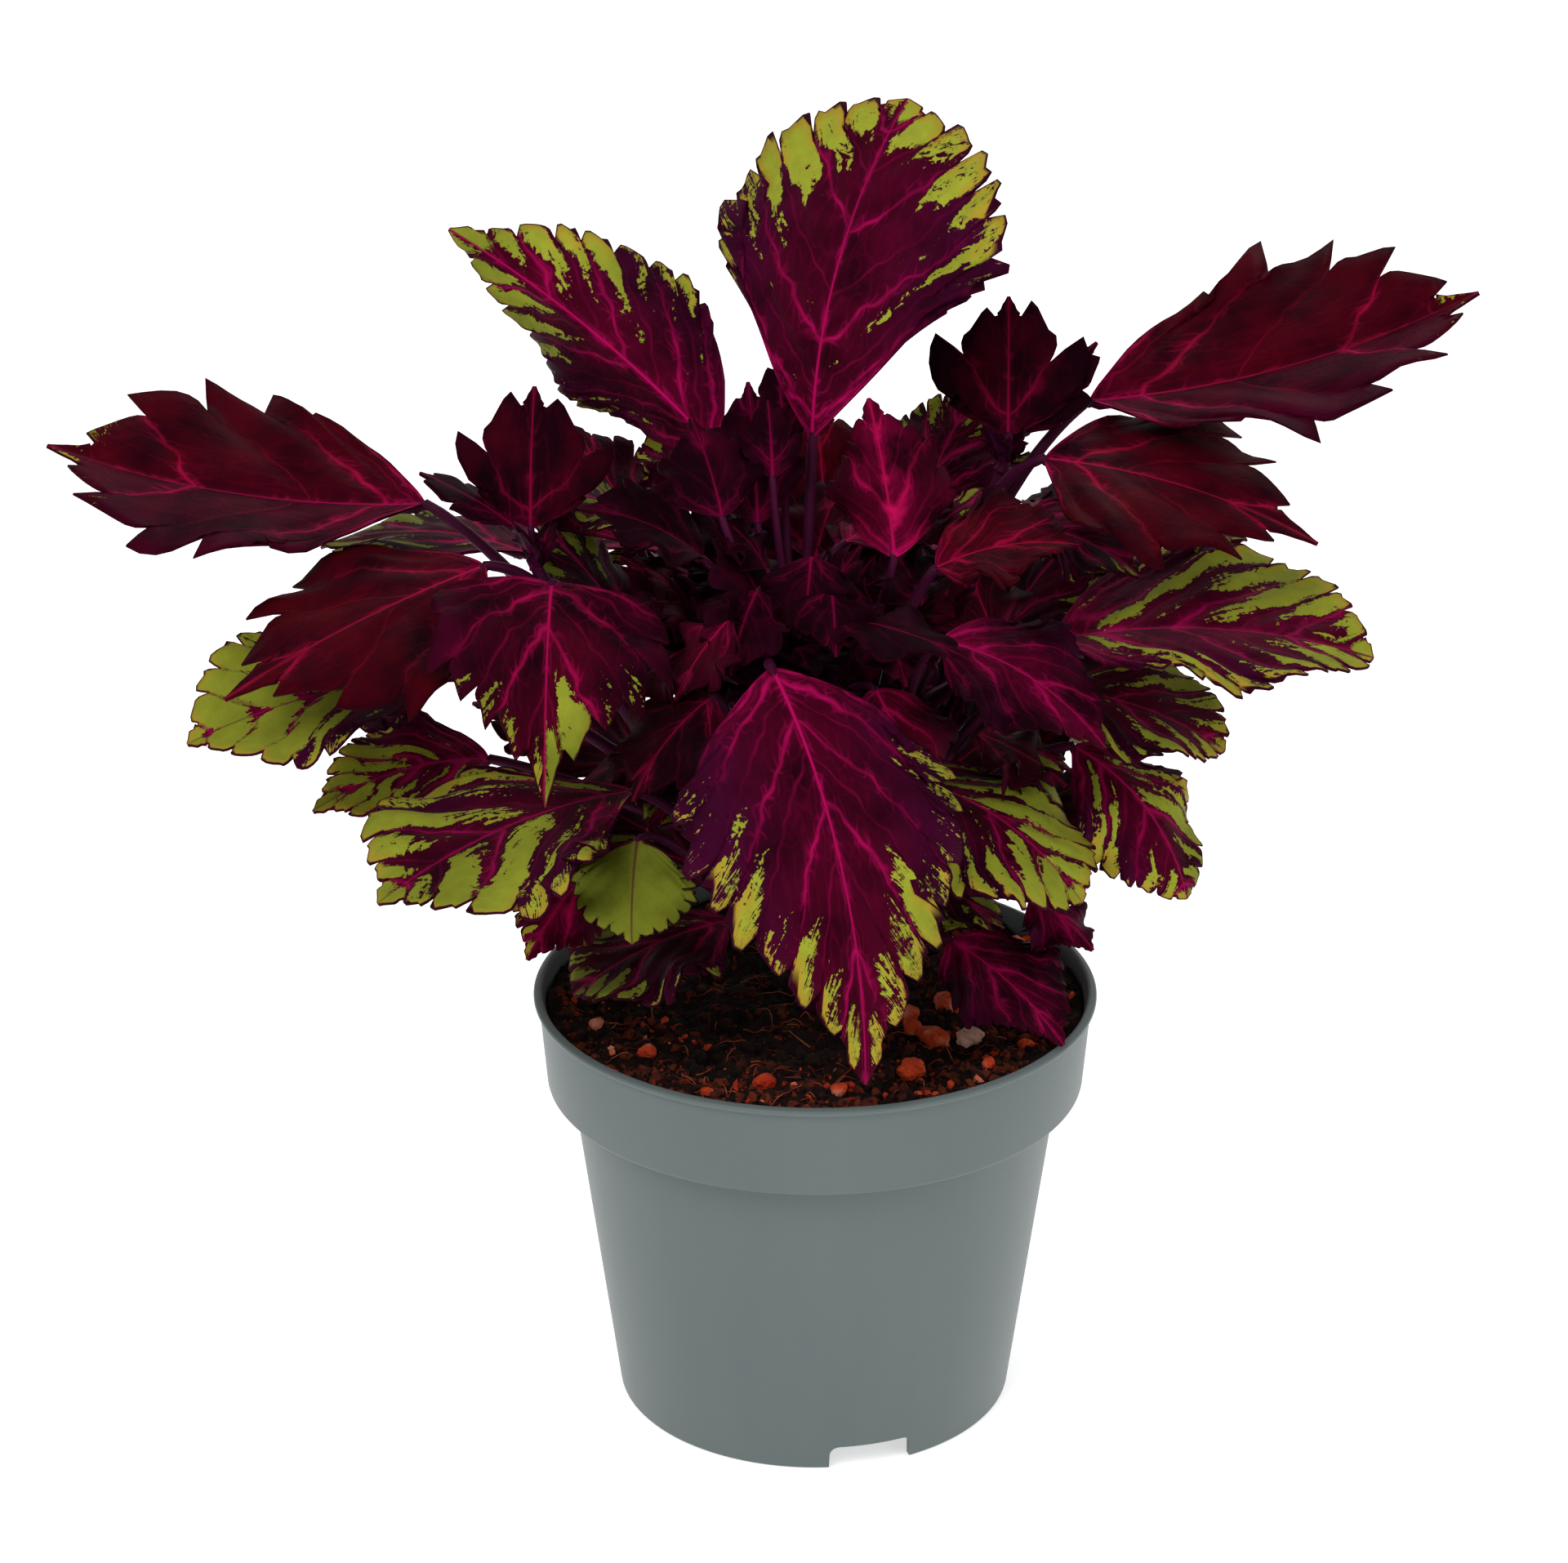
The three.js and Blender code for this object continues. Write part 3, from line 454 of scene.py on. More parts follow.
SMALL = {  # the young leaves at each shoot's end: stem, where on it, base, tip, width, habit
    "centre": [
        ("main", 0.97, [-7, 17, 208], [-8, 25, 224], 12, TINY),
        ("main", 0.97, [-9, 4, 206], [-10, 10, 220], 12, TINY),
        ("main", 0.97, [1, -17, 184], [29, -29, 180], 22, dict(arch=25, teeth=3)),
        ("main", 0.95, [-12, -10, 187], [-17, -21, 174], 20, dict(teeth=3)),
        ("main", 0.9, [3, -14, 190], [4, -26, 180], 18, dict(teeth=3)),
        ("main", 0.9, [-19, -6, 201], [-25, 2, 218], 24, dict(arch=20, teeth=3)),
        ("main", 0.9, [-23, -2, 191], [-46, -4, 202], 26, dict(right=30, teeth=3)),
        ("main", 0.95, [-10, -4, 189], [-19, -2, 199], 16, dict(teeth=2)),
        ("main", 0.92, [12, -12, 182], [18, -20, 171], 16, dict(teeth=3)),
        ("main", 0.95, [-12, 4, 196], [-14, 14, 222], 20, dict(arch=20, teeth=3)),
    ],
    "left": [
        ("left", 0.97, [-59, 7, 194], [-58, 12, 221], 28, dict(TINY, arch=15, full=2)),
        ("left", 0.97, [-62, 6, 195], [-81, 12, 204], 14, dict(TINY, arch=15)),
    ],
    "right": [
        ("right", 0.97, [40, 26, 208], [40, 36, 233], 30, dict(TINY, arch=15, full=2)),
        ("right", 0.97, [43, 28, 208], [58, 38, 224], 14, dict(TINY, arch=15, right=-30)),
    ],
    "front_left": [
        ("front_left", 0.85, [-21, -21, 168], [-36, -33, 152], 30, dict(arch=40, teeth=3)),
        ("front_left", 0.8, [-12, -30, 140], [-16, -48, 134], 20, dict(arch=40, teeth=3)),
    ],
    "front_right": [],
    "back_left": [],
    "back_right": [],
}
print("large leaves:", len(LEAVES), "shoot tips:", len(SMALL))

# %% [markdown]
# ## The shape of one leaf
# A coleus blade is a thin sheet that arches from base to tip, folds a little along its midrib and
# ripples at the margin. Its edge is cut into teeth that point forward, rounded ones on mature
# leaves and sharp ones on young leaves. A sculpted mesh would have to be made once for each leaf.
# Here the blade is worked out flat, as millimetres along and across the midrib, and then laid on
# an arc, so that one set of functions makes every leaf from its row in the table.


# %% The leaf's middle line
def leaf_axis(base, tip, arch, twist):
    """A function that gives place, direction, side and normal along the midrib, and its length."""
    base, tip = np.array(base, float), np.array(tip, float)
    chord = np.linalg.norm(tip - base)
    t = (tip - base) / chord
    heading = math.atan2(t[1], t[0])
    leftward = np.array([-math.sin(heading), math.cos(heading), 0])
    lift = np.cross(t, leftward)
    roll = math.radians(twist)
    side = leftward * math.cos(roll) + lift * math.sin(roll)
    bulge = lift * math.cos(roll / 2) - leftward * math.sin(roll / 2)
    a = math.radians(arch)
    radius = chord / (2 * math.sin(a / 2))

    def at(f):
        g = (a / 2 - a * np.asarray(f, float))[..., None]
        onward, outward = math.sin(a / 2) - np.sin(g), np.cos(g) - math.cos(a / 2)
        place = base + t * radius * onward + bulge * radius * outward
        along = t * np.cos(g) + bulge * np.sin(g)
        across = unit(side - along * (along @ side)[..., None])
        return place, along, across, np.cross(along, across)

    return at, radius * a


arched = leaf_axis((0, 0, 0), (60, 0, 0), 60, 0)[1]
print("midrib of a 60 mm leaf that is arched by 60 degrees:", round(arched, 1), "mm")


# %% The outline: a smooth envelope with forward teeth
def fullness(q, row):
    """Width of the blade at share q of its length, 1 at its belly."""
    a, b = row["full"] * row["belly"], row["full"] * (1 - row["belly"])
    top = row["belly"] ** a * (1 - row["belly"]) ** b
    return np.clip(q, 0, 1) ** a * np.clip(1 - np.asarray(q, float), 0, 1) ** b / top


# one tooth as shares of its length and height: rounded on mature leaves, pointed on young ones
PLACES = np.array([0, 0.05, 0.13, 0.25, 0.4, 0.56, 0.7, 0.81, 0.92])
ROUNDED = np.array([-0.85, -0.4, 0.05, 0.3, 0.45, 0.54, 0.6, 0.56, -0.1])
POINTED = np.array([-0.5, -0.42, -0.3, -0.18, 0.0, 0.24, 0.55, 0.85, 0.0])
SECOND = np.array([0, 0, 0.1, 0.25, -0.25, -0.1, 0.1, 0, 0])  # a small tooth on a rounded one
LEAN = np.array([0, 0, 0, 0.05, 0.15, 0.35, 0.65, 1.0, 0.4])
TEETH = 1.15  # teeth for each, larger, tooth of the plain solid
UNEVEN = 0.3  # share of a tooth by which chance shifts the notches
SMALLEST, CHANCE = 0.55, 0.65  # height of the smallest tooth, and what chance adds to it
BASE_ROWS, APEX_ROWS = 10, 9  # rows of points before the first tooth and after the last one
APEX_WIDTH = 0.17  # share of the full width where the apex begins
NECK, NECK_LENGTH = 0.7, 0.07  # how much narrower the base is, and on which share of the length
SWEEP = 7.0  # how far the side veins sweep forward
SAMPLES = 600  # places at which the way along the margin is measured


def tooth_rows(row, length, random):
    """Tooth count w and share q of the length for each row of points, and the number of teeth."""
    half = row["width"] / 2
    shares = np.linspace(0, 1, SAMPLES)
    steps = np.hypot(np.diff(shares) * length, np.diff(fullness(shares, row)) * half)
    arc_length = np.concatenate([[0], np.cumsum(steps)])
    first = np.interp(row["start"], shares, arc_length)
    last = arc_length[np.nonzero(fullness(shares, row) > APEX_WIDTH)[0][-1]]
    teeth = max(2, round(row["teeth"] * (TEETH if row["round"] == 1 else 1)))
    tooth = (last - first) / teeth
    shifts = [UNEVEN * (next(random) - 0.5) * (0 < k < teeth) for k in range(teeth + 1)]
    notches = [first + tooth * (k + shift) for k, shift in enumerate(shifts)]
    before = np.linspace(0, first, BASE_ROWS + 1)[:-1]
    after = np.linspace(last, arc_length[-1], APEX_ROWS)
    toothed = [near + (far - near) * PLACES for near, far in zip(notches, notches[1:])]
    q = np.interp(np.concatenate([before, *toothed, after]), arc_length, shares)
    inside = np.concatenate([k + PLACES for k in range(teeth)])
    w = np.concatenate([(before - first) / tooth, inside, teeth + (after - last) / tooth])
    return w, q, teeth


def outline(row, length, seed):
    """Tooth count w, share q, root on the midrib, smooth envelope and toothed margin, row by row."""
    random = draws(seed)
    half = row["width"] / 2
    w, q, teeth = tooth_rows(row, length, random)
    neck = 1 - NECK * np.exp(-((q / NECK_LENGTH) ** 2))
    envelope = np.stack([q * length, np.maximum(fullness(q, row) * half * neck, 0.5)], 1)
    slope = fullness(np.minimum(q + 0.01, 1), row) - fullness(q - 0.01, row)
    forward = unit(np.stack([np.full_like(q, 0.02 * length), slope * half], 1))
    outward = forward[:, ::-1] * [-1, 1]
    # teeth of uneven height, lower where the blade is narrow
    toothed, apex = slice(BASE_ROWS, -APEX_ROWS), slice(-APEX_ROWS, None)
    depth = row["depth"] * row["width"]
    size = [depth * (SMALLEST + CHANCE * next(random)) for _ in range(teeth)]
    size = np.repeat(size, len(PLACES)) * (0.4 + 0.6 * np.sqrt(fullness(q[toothed], row)))
    height = np.tile(ROUNDED * row["round"] + POINTED * (1 - row["round"]), (teeth, 1))
    height += row["round"] * SECOND * np.array([[next(random)] for _ in range(teeth)])
    height = height.ravel()
    height[0] = 0
    lean = np.tile(LEAN * row["hook"], teeth)
    margin = envelope.copy()
    stands_out = (size * height)[:, None] * outward[toothed]
    margin[toothed] += stands_out + (size * lean)[:, None] * forward[toothed]
    # the apex: slim and drawn out on young leaves, a small lobe on rounded ones
    share = np.linspace(0, 1, APEX_ROWS)
    drawn_out = row["apex"] * half * share**1.3
    margin[apex, 0] += drawn_out
    slim = margin[apex, 1] * (1 - 0.15 * np.sin(math.pi * share))
    wavy = 1 + 0.12 * np.sin(4 * math.pi * share)
    lobe = APEX_WIDTH * half * wavy * (1 - share**2.2) ** 0.8
    margin[apex, 1] = slim + (lobe - slim) * row["round"]
    envelope[apex] = margin[apex]
    margin[-APEX_ROWS] += [0.004 * length, -0.3 * size[-1]]
    margin[:, 1] = np.maximum(margin[:, 1], 0.35)
    root = q ** (1 + SWEEP * half / length) * length
    root[apex] += drawn_out
    return w, q, root, envelope, margin


print("teeth for each large tooth:", TEETH)

# %% [markdown]
# The colours follow the leaf's own veins, so each point of the blade carries the numbers that the
# pattern is made from: which side vein is near, how far it is to the margin, and how lime, dark or
# glowing the leaf is there. They are worked out with the shape, while the flat blade is at hand.

# %% Fields of the blade
BODY = 0.8  # share of each row of points that lies inside the notches
ROW_BEND = 1.15  # how the rows of points curve from the midrib towards the apex
RUNG = 4.0  # mm between the fine veins that cross from one side vein to the next
CLOUD = 13.0  # mm across a darker or lighter cloud of the skin
PATCHES = 60  # amounts of lime drawn for a half blade, more than it has teeth
FIELDS = ("w", "rung", "rib", "gap", "edge", "lime", "glow", "shade", "outer", "red", "vivid", "rib_glow")


def distance(u, v, line):
    """Shortest way in mm from each point to a line of points."""
    best = np.full(u.shape, 1e9)
    for a, b in zip(line, line[1:]):
        d = b - a
        f = np.clip(((u - a[0]) * d[0] + (v - a[1]) * d[1]) / (d @ d + 1e-9), 0, 1)
        best = np.minimum(best, np.hypot(u - a[0] - f * d[0], v - a[1] - f * d[1]))
    return best


def pattern(u, v, w, q, edge, gap, way, half, look, seed, left):
    """The fields that the leaf's colours follow, at each point of one half of a blade."""
    amount = np.random.default_rng(2 * seed + left).random(PATCHES) * 2 - 1
    patch = amount[np.floor(w).astype(int) + PATCHES // 3] * look["spread"]
    bare_base = 2.5 * (1 - smooth(q, 0.12, 0.34))
    bare_rib = 1.2 * np.exp(-((v / (1 + 3 * (1 - q))) ** 2))
    lime = look["cover"] + patch + look["tipwards"] * (q - 0.6) - edge / look["reach"]
    clouds = lumps(u + 31 * seed, v + 50 * left, CLOUD)
    x = np.clip(v / half, 0, 1)
    return dict(
        w=w,
        rung=way / RUNG,
        rib=v / (0.3 + 0.7 * (1 - q)),
        gap=gap,
        edge=edge,
        lime=lime - bare_base - bare_rib,
        glow=look["glow"] * np.exp(-((v / (0.38 * half)) ** 2)) * (1 - 0.7 * q),
        # shade: the leaf's own dark with random clouds, and painted shade on leaves inside the plant
        shade=np.clip(look["shade"] + 0.3 * clouds, 0, 1),
        # outer: purple towards the margin, partly the leaf's own tone and partly a painted sheen
        outer=(1 - look["red"]) * smooth(x, 0.15, 0.95),
        red=look["red"] * smooth(x + q, 0.1, 0.9),
        vivid=look["vivid"] * (1 - 0.85 * smooth(x, 0.1, 0.95)) * (1 - 0.35 * q),
        rib_glow=look["rib"] * (1 - 0.5 * q**2),
    )


def flat_half(row, length, seed, t):
    """One half laid flat: u along and v across the midrib, w, q, gap between veins, and ways in mm."""
    w, q, root, envelope, margin = outline(row, length, seed)
    reach = row["depth"] * row["width"]
    room = np.maximum(envelope[:, 1], 0.01)
    share = np.clip(1 - 1.2 * reach / room, 0.3, 0.86)[:, None]
    body, band = np.minimum(t / BODY, 1)[None, :], np.clip((t - BODY) / (1 - BODY), 0, 1)[None, :]
    w, q, root = (c[:, None] for c in (w, q, root))
    (eu, ev), (mu, mv) = ((c[:, :1], c[:, 1:]) for c in (envelope, margin))
    foot_u, foot_v = root + (eu - root) * share**ROW_BEND, ev * share
    u = root + (foot_u - root) * body**ROW_BEND + (mu - foot_u) * band
    v = foot_v * body + (mv - foot_v) * band
    w, q = w * np.ones_like(u), q * np.ones_like(u)
    run_u, run_v = np.gradient(u, axis=1), np.gradient(v, axis=1)
    step = np.hypot(run_u, run_v) + 1e-6
    across_u, across_v = np.gradient(u, axis=0), np.gradient(v, axis=0)
    gap = np.abs(across_u * run_v - across_v * run_u) / step / (np.gradient(w, axis=0) + 1e-6)
    gap = np.clip(gap, 0.5, 25) * np.ones_like(u)
    return u, v, w, q, gap, distance(u, v, margin), np.cumsum(step, 1) - step


print("fields:", len(FIELDS))

# %% [markdown]
# ## Relief of the blade
# Seen close up a coleus blade is quilted: it swells between the side veins, sinks along the
# midrib and ruffles at the teeth. That relief is real geometry here, because it bends the outline
# and the highlights. Only the single cells are left to the material.

# %% Relief of one half
QUILT, QUILT_WIDTH = 1.0, 4.5  # mm that the blade swells between its side veins, mm to full height
GROOVE, GROOVE_WIDTH = 0.6, 1.2  # mm that it sinks along the midrib, and mm to either side
RUFFLE = 0.02  # height of the ruffle at each tooth, as a share of half the width
WAVES = 2.3  # long waves of the margin from base to tip
WAVE_START = dict(left=0.7, right=2.4)  # where they start, so that the halves differ
SKIN = 0.25  # mm from the middle of the sheet to its surface
RIB_DEPTH, RIB_WIDTH = 0.9, 1.1  # mm that the midrib stands out below, and mm to either side
VEIN_DEPTH, VEIN_WIDTH = 0.18, 0.6  # the same for a side vein


def half_blade(row, look, seed, t, at, length, left):
    """Upper and lower points of one half, from the midrib to the margin, and its fields."""
    s = 1 if left else -1
    name = "left" if left else "right"
    half = row["width"] / 2
    u, v, w, q, gap, edge, way = flat_half(row, length, seed + s + 2, t)
    fields = pattern(u, v, w, q, edge, gap, way, half, look, seed, left)
    x = v / half
    vein = np.abs(w - np.round(w)) * gap
    inside = smooth(v, 0, 6) * smooth(edge, 0.5, 6)
    quilt = QUILT * min(1, half / 25) * (smooth(vein, 0, QUILT_WIDTH) - 0.6) * inside
    groove = -GROOVE * np.exp(-((v / GROOVE_WIDTH) ** 2)) * (1 - q) ** 0.5
    ruffle = RUFFLE * half * np.sin(2 * math.pi * (w + 0.2 * s)) * smooth(x, 0.3, 1.0)
    turn = 2 * math.pi * WAVES * u / length + WAVE_START[name]
    h = row["wave"] * np.minimum(x, 1.2) ** 1.5 * np.sin(turn) - row["curl"] * half * x * x / 2
    h = h + quilt + groove + ruffle
    fold = math.radians(row[name]) * smooth(x, -0.12, 0.16)
    place, _, across, normal = at(np.clip(u / length, 0, 1.15))
    out = (v * np.cos(fold) - h * np.sin(fold))[..., None]
    up = (v * np.sin(fold) + h * np.cos(fold))[..., None]
    skin = normal * np.cos(fold)[..., None] - s * across * np.sin(fold)[..., None]
    middle = place + s * out * across + up * normal
    rib = RIB_DEPTH * np.exp(-((v / RIB_WIDTH) ** 2)) * (1 - 0.8 * q)
    depth = SKIN + rib + VEIN_DEPTH * np.exp(-((vein / VEIN_WIDTH) ** 2)) * inside
    top, low = middle + SKIN * skin, middle - depth[..., None] * skin
    return dict(fields, top=top, low=low, u=u, v=s * v)


print("relief ready")

# %% [markdown]
# A leaf is two halves that meet at the midrib, closed by a lower skin and a narrow rim. Its
# petiole is the stalk to the stem, and it runs on under the blade as a rib, as on a real leaf.


# %% Put one leaf together
FLAT_UNIT = 100  # mm to one unit of the blade's flat map
FLAT_STEP = 0.37  # units between the maps of two leaves, so that their patterns differ


def add_leaf(parts, row, looks, seed):
    """One leaf: upper skin and rim as slot 0, lower skin as slot 1, petiole as slot 2."""
    columns = 20 if row["width"] > 40 else 14 if row["width"] > 28 else 10
    t = np.concatenate([np.linspace(0, 1, columns - 4)[:-1] ** 1.1 * BODY, np.linspace(BODY, 1, 5)])
    at, length = leaf_axis(row["base"], row["tip"], row["arch"], row["twist"])
    left = half_blade(row, looks[0], seed, t, at, length, True)
    right = half_blade(row, looks[-1], seed, t, at, length, False)
    for key in ("top", "low", "u"):  # both halves share the midrib
        left[key][:, 0] = right[key][:, 0] = (left[key][:, 0] + right[key][:, 0]) / 2
    sheet = {k: np.concatenate([left[k][:, ::-1], right[k][:, 1:]], 1) for k in left}
    rows, across = sheet["w"].shape
    n = rows * across
    upper = grid_faces(rows, across)
    lower = [[i + n for i in reversed(f)] for f in upper]
    i = np.arange(n).reshape(rows, across)
    loop = list(i[0, :-1]) + list(i[:-1, -1]) + list(i[-1, :0:-1]) + list(i[:0:-1, 0])
    rim = [[b, a, a + n, b + n] for a, b in zip(loop, loop[1:] + loop[:1])]
    slots = [0] * (len(upper) + len(rim)) + [1] * len(lower)
    points = np.concatenate([sheet["top"].reshape(-1, 3), sheet["low"].reshape(-1, 3)])
    flat = np.stack([sheet["u"].ravel() / FLAT_UNIT, sheet["v"].ravel() / FLAT_UNIT], 1)
    flat[:, 0] += seed * FLAT_STEP
    fields = {k: np.tile(sheet[k].ravel(), 2) for k in FIELDS}
    parts.take(points, upper + rim + lower, slots, np.tile(flat, (2, 1)), **fields)
    if row.get("stem"):
        add_petiole(parts, row, at)


def add_petiole(parts, row, at):
    """The stalk from the stem to the blade, then on as the rib under the blade's first half."""
    root = stem_point(row["stem"], row["share"])
    start, along, _, normal = at(np.array(0.0))
    reach = np.linalg.norm(start - root)
    control = (start - along * min(reach / 2, 15)) * 0.6 + (start + root) / 2 * 0.4
    stalk = bend(root, control, start - 0.3 * normal, np.linspace(0, 1, 15))
    thick, thin = (1.5, 1.1) if row["width"] > 28 else (0.95, 0.8)
    rib_radii = np.linspace(thin * 0.85, 0.25, 8)
    rib, _, _, rib_normal = at(np.linspace(0.03, 0.45, 8))
    path = np.concatenate([stalk, rib - rib_normal * (rib_radii + 0.45)[:, None]])
    radii = np.concatenate([np.linspace(thick, thin, 15), rib_radii])
    radii[:2] *= 1.25
    points, faces = tube(path, radii, 10)
    parts.take(points, faces, 2)


print("blade helpers ready")

# %% [markdown]
# ## Leaf skin
# The upper skin of a coleus leaf is a soft, faintly velvety surface over coloured cells. Burgundy
# is the ground, magenta lines mark the midrib, the side veins and their branches, and lime shows
# where the red pigment is missing: in patches that start at the margin, stop at the veins and
# break up into specks. A painted picture would suit one leaf only. Here every part of the pattern
# is a distance in millimetres, compared with a width in millimetres and roughened by noise, so
# that the same material fits every leaf.

# %% What the skin is worked out from
NOISES = {  # millimetres across a spot, how many finer layers, how strong those are
    "broad": (12, 3, 0.5),
    "patches": (7, 3, 0.5),
    "soft": (3, 3, 0.5),
    "fine": (1.1, 3, 0.65),
    "curve": (8, 1, 0.5),
}
LINES = {  # what is measured, where the line is full and where it ends, its strength, how it fades
    "side_line": ("side", 0.05, 0.45, 1.0, "LINEAR"),
    "main_line": ("stout", 0.1, 0.65, 1.0, "LINEAR"),
    "rib_line": ("rib", 0.25, 0.85, 1.0, "LINEAR"),
    "net_line": ("net", 0.01, 0.09, 0.8, "LINEAR"),
    "main_halo": ("main", 0.0, 2.3, 0.8, "SMOOTHSTEP"),
    "rib_halo": ("rib", 0.0, 3.4, 0.9, "SMOOTHSTEP"),
    "zone": ("side", 0.3, 2.4, 1.5, "LINEAR"),
    "dry": ("edge", 0.4, 2.4, 1.0, "LINEAR"),
    "rim": ("edge", 0.05, 0.4, 0.5, "LINEAR"),
}
WANDER = 2.3  # mm that a side vein strays to either side


def skin_measures(tree):
    """By name: the blade's fields, noises, distances in mm to the veins, and lines along them."""
    flat = add(tree, "UVMap", uv_map="flat")
    f = {key: add(tree, "Attribute", output="Fac", attribute_name=key) for key in FIELDS}
    for key, (size, detail, rough) in NOISES.items():
        spots = {"Vector": flat, "Scale": FLAT_UNIT / size, "Detail": detail, "Roughness": rough}
        f[key] = add(tree, "TexNoise", spots)
    # side: to the nearest side vein, main: to every second one, stout: the same, wider when vivid
    stray = add(tree, "Math", (f["curve"], 2 * WANDER, -WANDER), operation="MULTIPLY_ADD")
    stray = add(tree, "Math", (stray, f["gap"]), operation="DIVIDE")
    f["bent"] = add(tree, "Math", (stray, f["w"]), operation="ADD")
    side = add(tree, "Math", (f["bent"], 0.5), operation="PINGPONG")
    f["side"] = add(tree, "Math", (side, f["gap"]), operation="MULTIPLY")
    main = add(tree, "Math", (f["bent"], 1.0), operation="ADD")
    main = add(tree, "Math", (main, 1.0), operation="PINGPONG")
    f["main"] = add(tree, "Math", (main, f["gap"]), operation="MULTIPLY")
    stout = add(tree, "Math", (f["vivid"], 0.4), operation="ADD")
    f["stout"] = add(tree, "Math", (f["main"], stout), operation="DIVIDE")
    # net: to the walls of a network that is woven between the side veins
    along = add(tree, "Math", (f["bent"], 1.6), operation="MULTIPLY")
    woven = add(tree, "CombineXYZ", (along, f["rung"], 0.0))
    warp = add(tree, "TexNoise", {"Vector": flat, "Scale": FLAT_UNIT / 4}, 1)
    woven = add(tree, "Mix", {0: 0.35, 4: woven, 5: warp}, 1, data_type="VECTOR")
    f["net"] = add(tree, "TexVoronoi", {"Vector": woven, "Scale": 1.5}, feature="DISTANCE_TO_EDGE")
    for key, (measure, full, end, strength, fade) in LINES.items():
        steps = {"Value": f[measure], "From Min": full, "From Max": end, "To Min": strength, "To Max": 0.0}
        f[key] = add(tree, "MapRange", steps, interpolation_type=fade)
    return f


print("lines of the skin:", ", ".join(LINES))

# %% [markdown]
# The strong veins are magenta and flush the skin beside them. Every second side vein is faint,
# and the network shows only as short spurs of the strong ones. Young leaves lay dark clouds over
# all of it, and so do the leaves deep inside the plant, where the dark is painted shade.


# %% Ground and veins
def vein_strength(tree, f):
    """How strongly a vein is drawn, and how strong the flush beside it is."""
    spotty = {"Value": f["patches"], "From Min": 0.36, "From Max": 0.62, "To Min": 0.1}
    patchy = add(tree, "MapRange", spotty)
    near = add(tree, "Math", (f["main_halo"], f["rib_halo"]), operation="MAXIMUM")
    near = add(tree, "Math", (near, 0.1), operation="ADD")
    spurs = add(tree, "Math", (f["net_line"], near), operation="MULTIPLY")
    faint = add(tree, "Math", (f["side_line"], 0.3), operation="MULTIPLY")
    branches = add(tree, "Math", (f["main_line"], spurs), operation="MAXIMUM")
    branches = add(tree, "Math", (branches, faint), operation="MAXIMUM")
    steady = add(tree, "Math", (patchy, 0.65, 0.35), operation="MULTIPLY_ADD")
    branches = add(tree, "Math", (branches, steady), operation="MULTIPLY")
    branches = add(tree, "Math", (branches, f["vivid"]), operation="MULTIPLY")
    middle = add(tree, "Math", (f["rib_line"], f["rib_glow"]), operation="MULTIPLY")
    drawn = add(tree, "Math", (middle, branches), operation="MAXIMUM", use_clamp=True)
    halo = add(tree, "Math", (f["main_halo"], f["vivid"]), operation="MULTIPLY")
    halo = add(tree, "Math", (f["rib_halo"], f["rib_glow"], halo), operation="MULTIPLY_ADD")
    halo = add(tree, "Math", (halo, f["glow"]), operation="ADD")
    halo = add(tree, "Math", (halo, patchy), operation="MULTIPLY")
    flush = add(tree, "Math", (halo, 0.9), operation="SUBTRACT", use_clamp=True)
    return add(tree, "Math", (drawn, flush), operation="MAXIMUM"), halo


def red_skin(tree, f, tones, drawn, halo):
    """Burgundy ground with dark clouds, partly painted shade, the flush beside the veins, and the veins.
    """
    # the clouds darken with the shade field, so on leaves inside the plant they are painted shade
    clouds = add(tree, "Math", (f["broad"], 2.4, f["shade"]), operation="MULTIPLY_ADD")
    clouds = add(tree, "Math", (clouds, 1.1), operation="SUBTRACT", use_clamp=True)
    colour = srgb(tones["ground"])
    # the outer tone is partly a painted sheen, purple towards the margin
    for share, tone in ((f["outer"], "outer"), (f["red"], "red"), (clouds, "deep"), (halo, "halo")):
        colour = add(tree, "Mix", {0: share, 6: colour, 7: srgb(tones[tone])}, 2, data_type="RGBA")
    cool, warm = srgb(tones["vein"]), srgb(tones["ember"])
    lit = add(tree, "Mix", {0: f["red"], 6: cool, 7: warm}, 2, data_type="RGBA")
    return add(tree, "Mix", {0: drawn, 6: colour, 7: lit}, 2, data_type="RGBA")


print("red skin ready")

# %% [markdown]
# Lime patches lie between two side veins. Their inner ends are ragged fingers with specks and
# dark holes, their outer ends dry to rust at the teeth, and moss green replaces lime where the
# shade field is high, which on the hanging leaf and the leaves inside the plant is painted shade.
# The edge is found by adding noises of three sizes and cutting the sum off at one level.


# %% Lime patches
def lime_mask(tree, f):
    """1 on a lime patch and 0 beside it, with a ragged, specked edge."""
    across = add(tree, "Math", (f["bent"], f["gap"]), operation="MULTIPLY")
    weave = add(tree, "CombineXYZ", (across, f["rung"], f["gap"]))
    fingers = add(tree, "TexNoise", {"Vector": weave, "Scale": 0.5, "Detail": 2.0})
    raised = add(tree, "Math", (fingers, 2.6, f["lime"]), operation="MULTIPLY_ADD")
    raised = add(tree, "Math", (f["soft"], 1.4, raised), operation="MULTIPLY_ADD")
    raised = add(tree, "Math", (f["fine"], 2.0, raised), operation="MULTIPLY_ADD")
    raised = add(tree, "Math", (raised, f["zone"]), operation="SUBTRACT")
    mask = add(tree, "MapRange", {"Value": raised, "From Min": 2.85, "From Max": 2.97})
    border = add(tree, "MapRange", {"Value": f["edge"], "From Min": 0.1, "From Max": 0.35})
    return add(tree, "Math", (mask, border), operation="MULTIPLY")


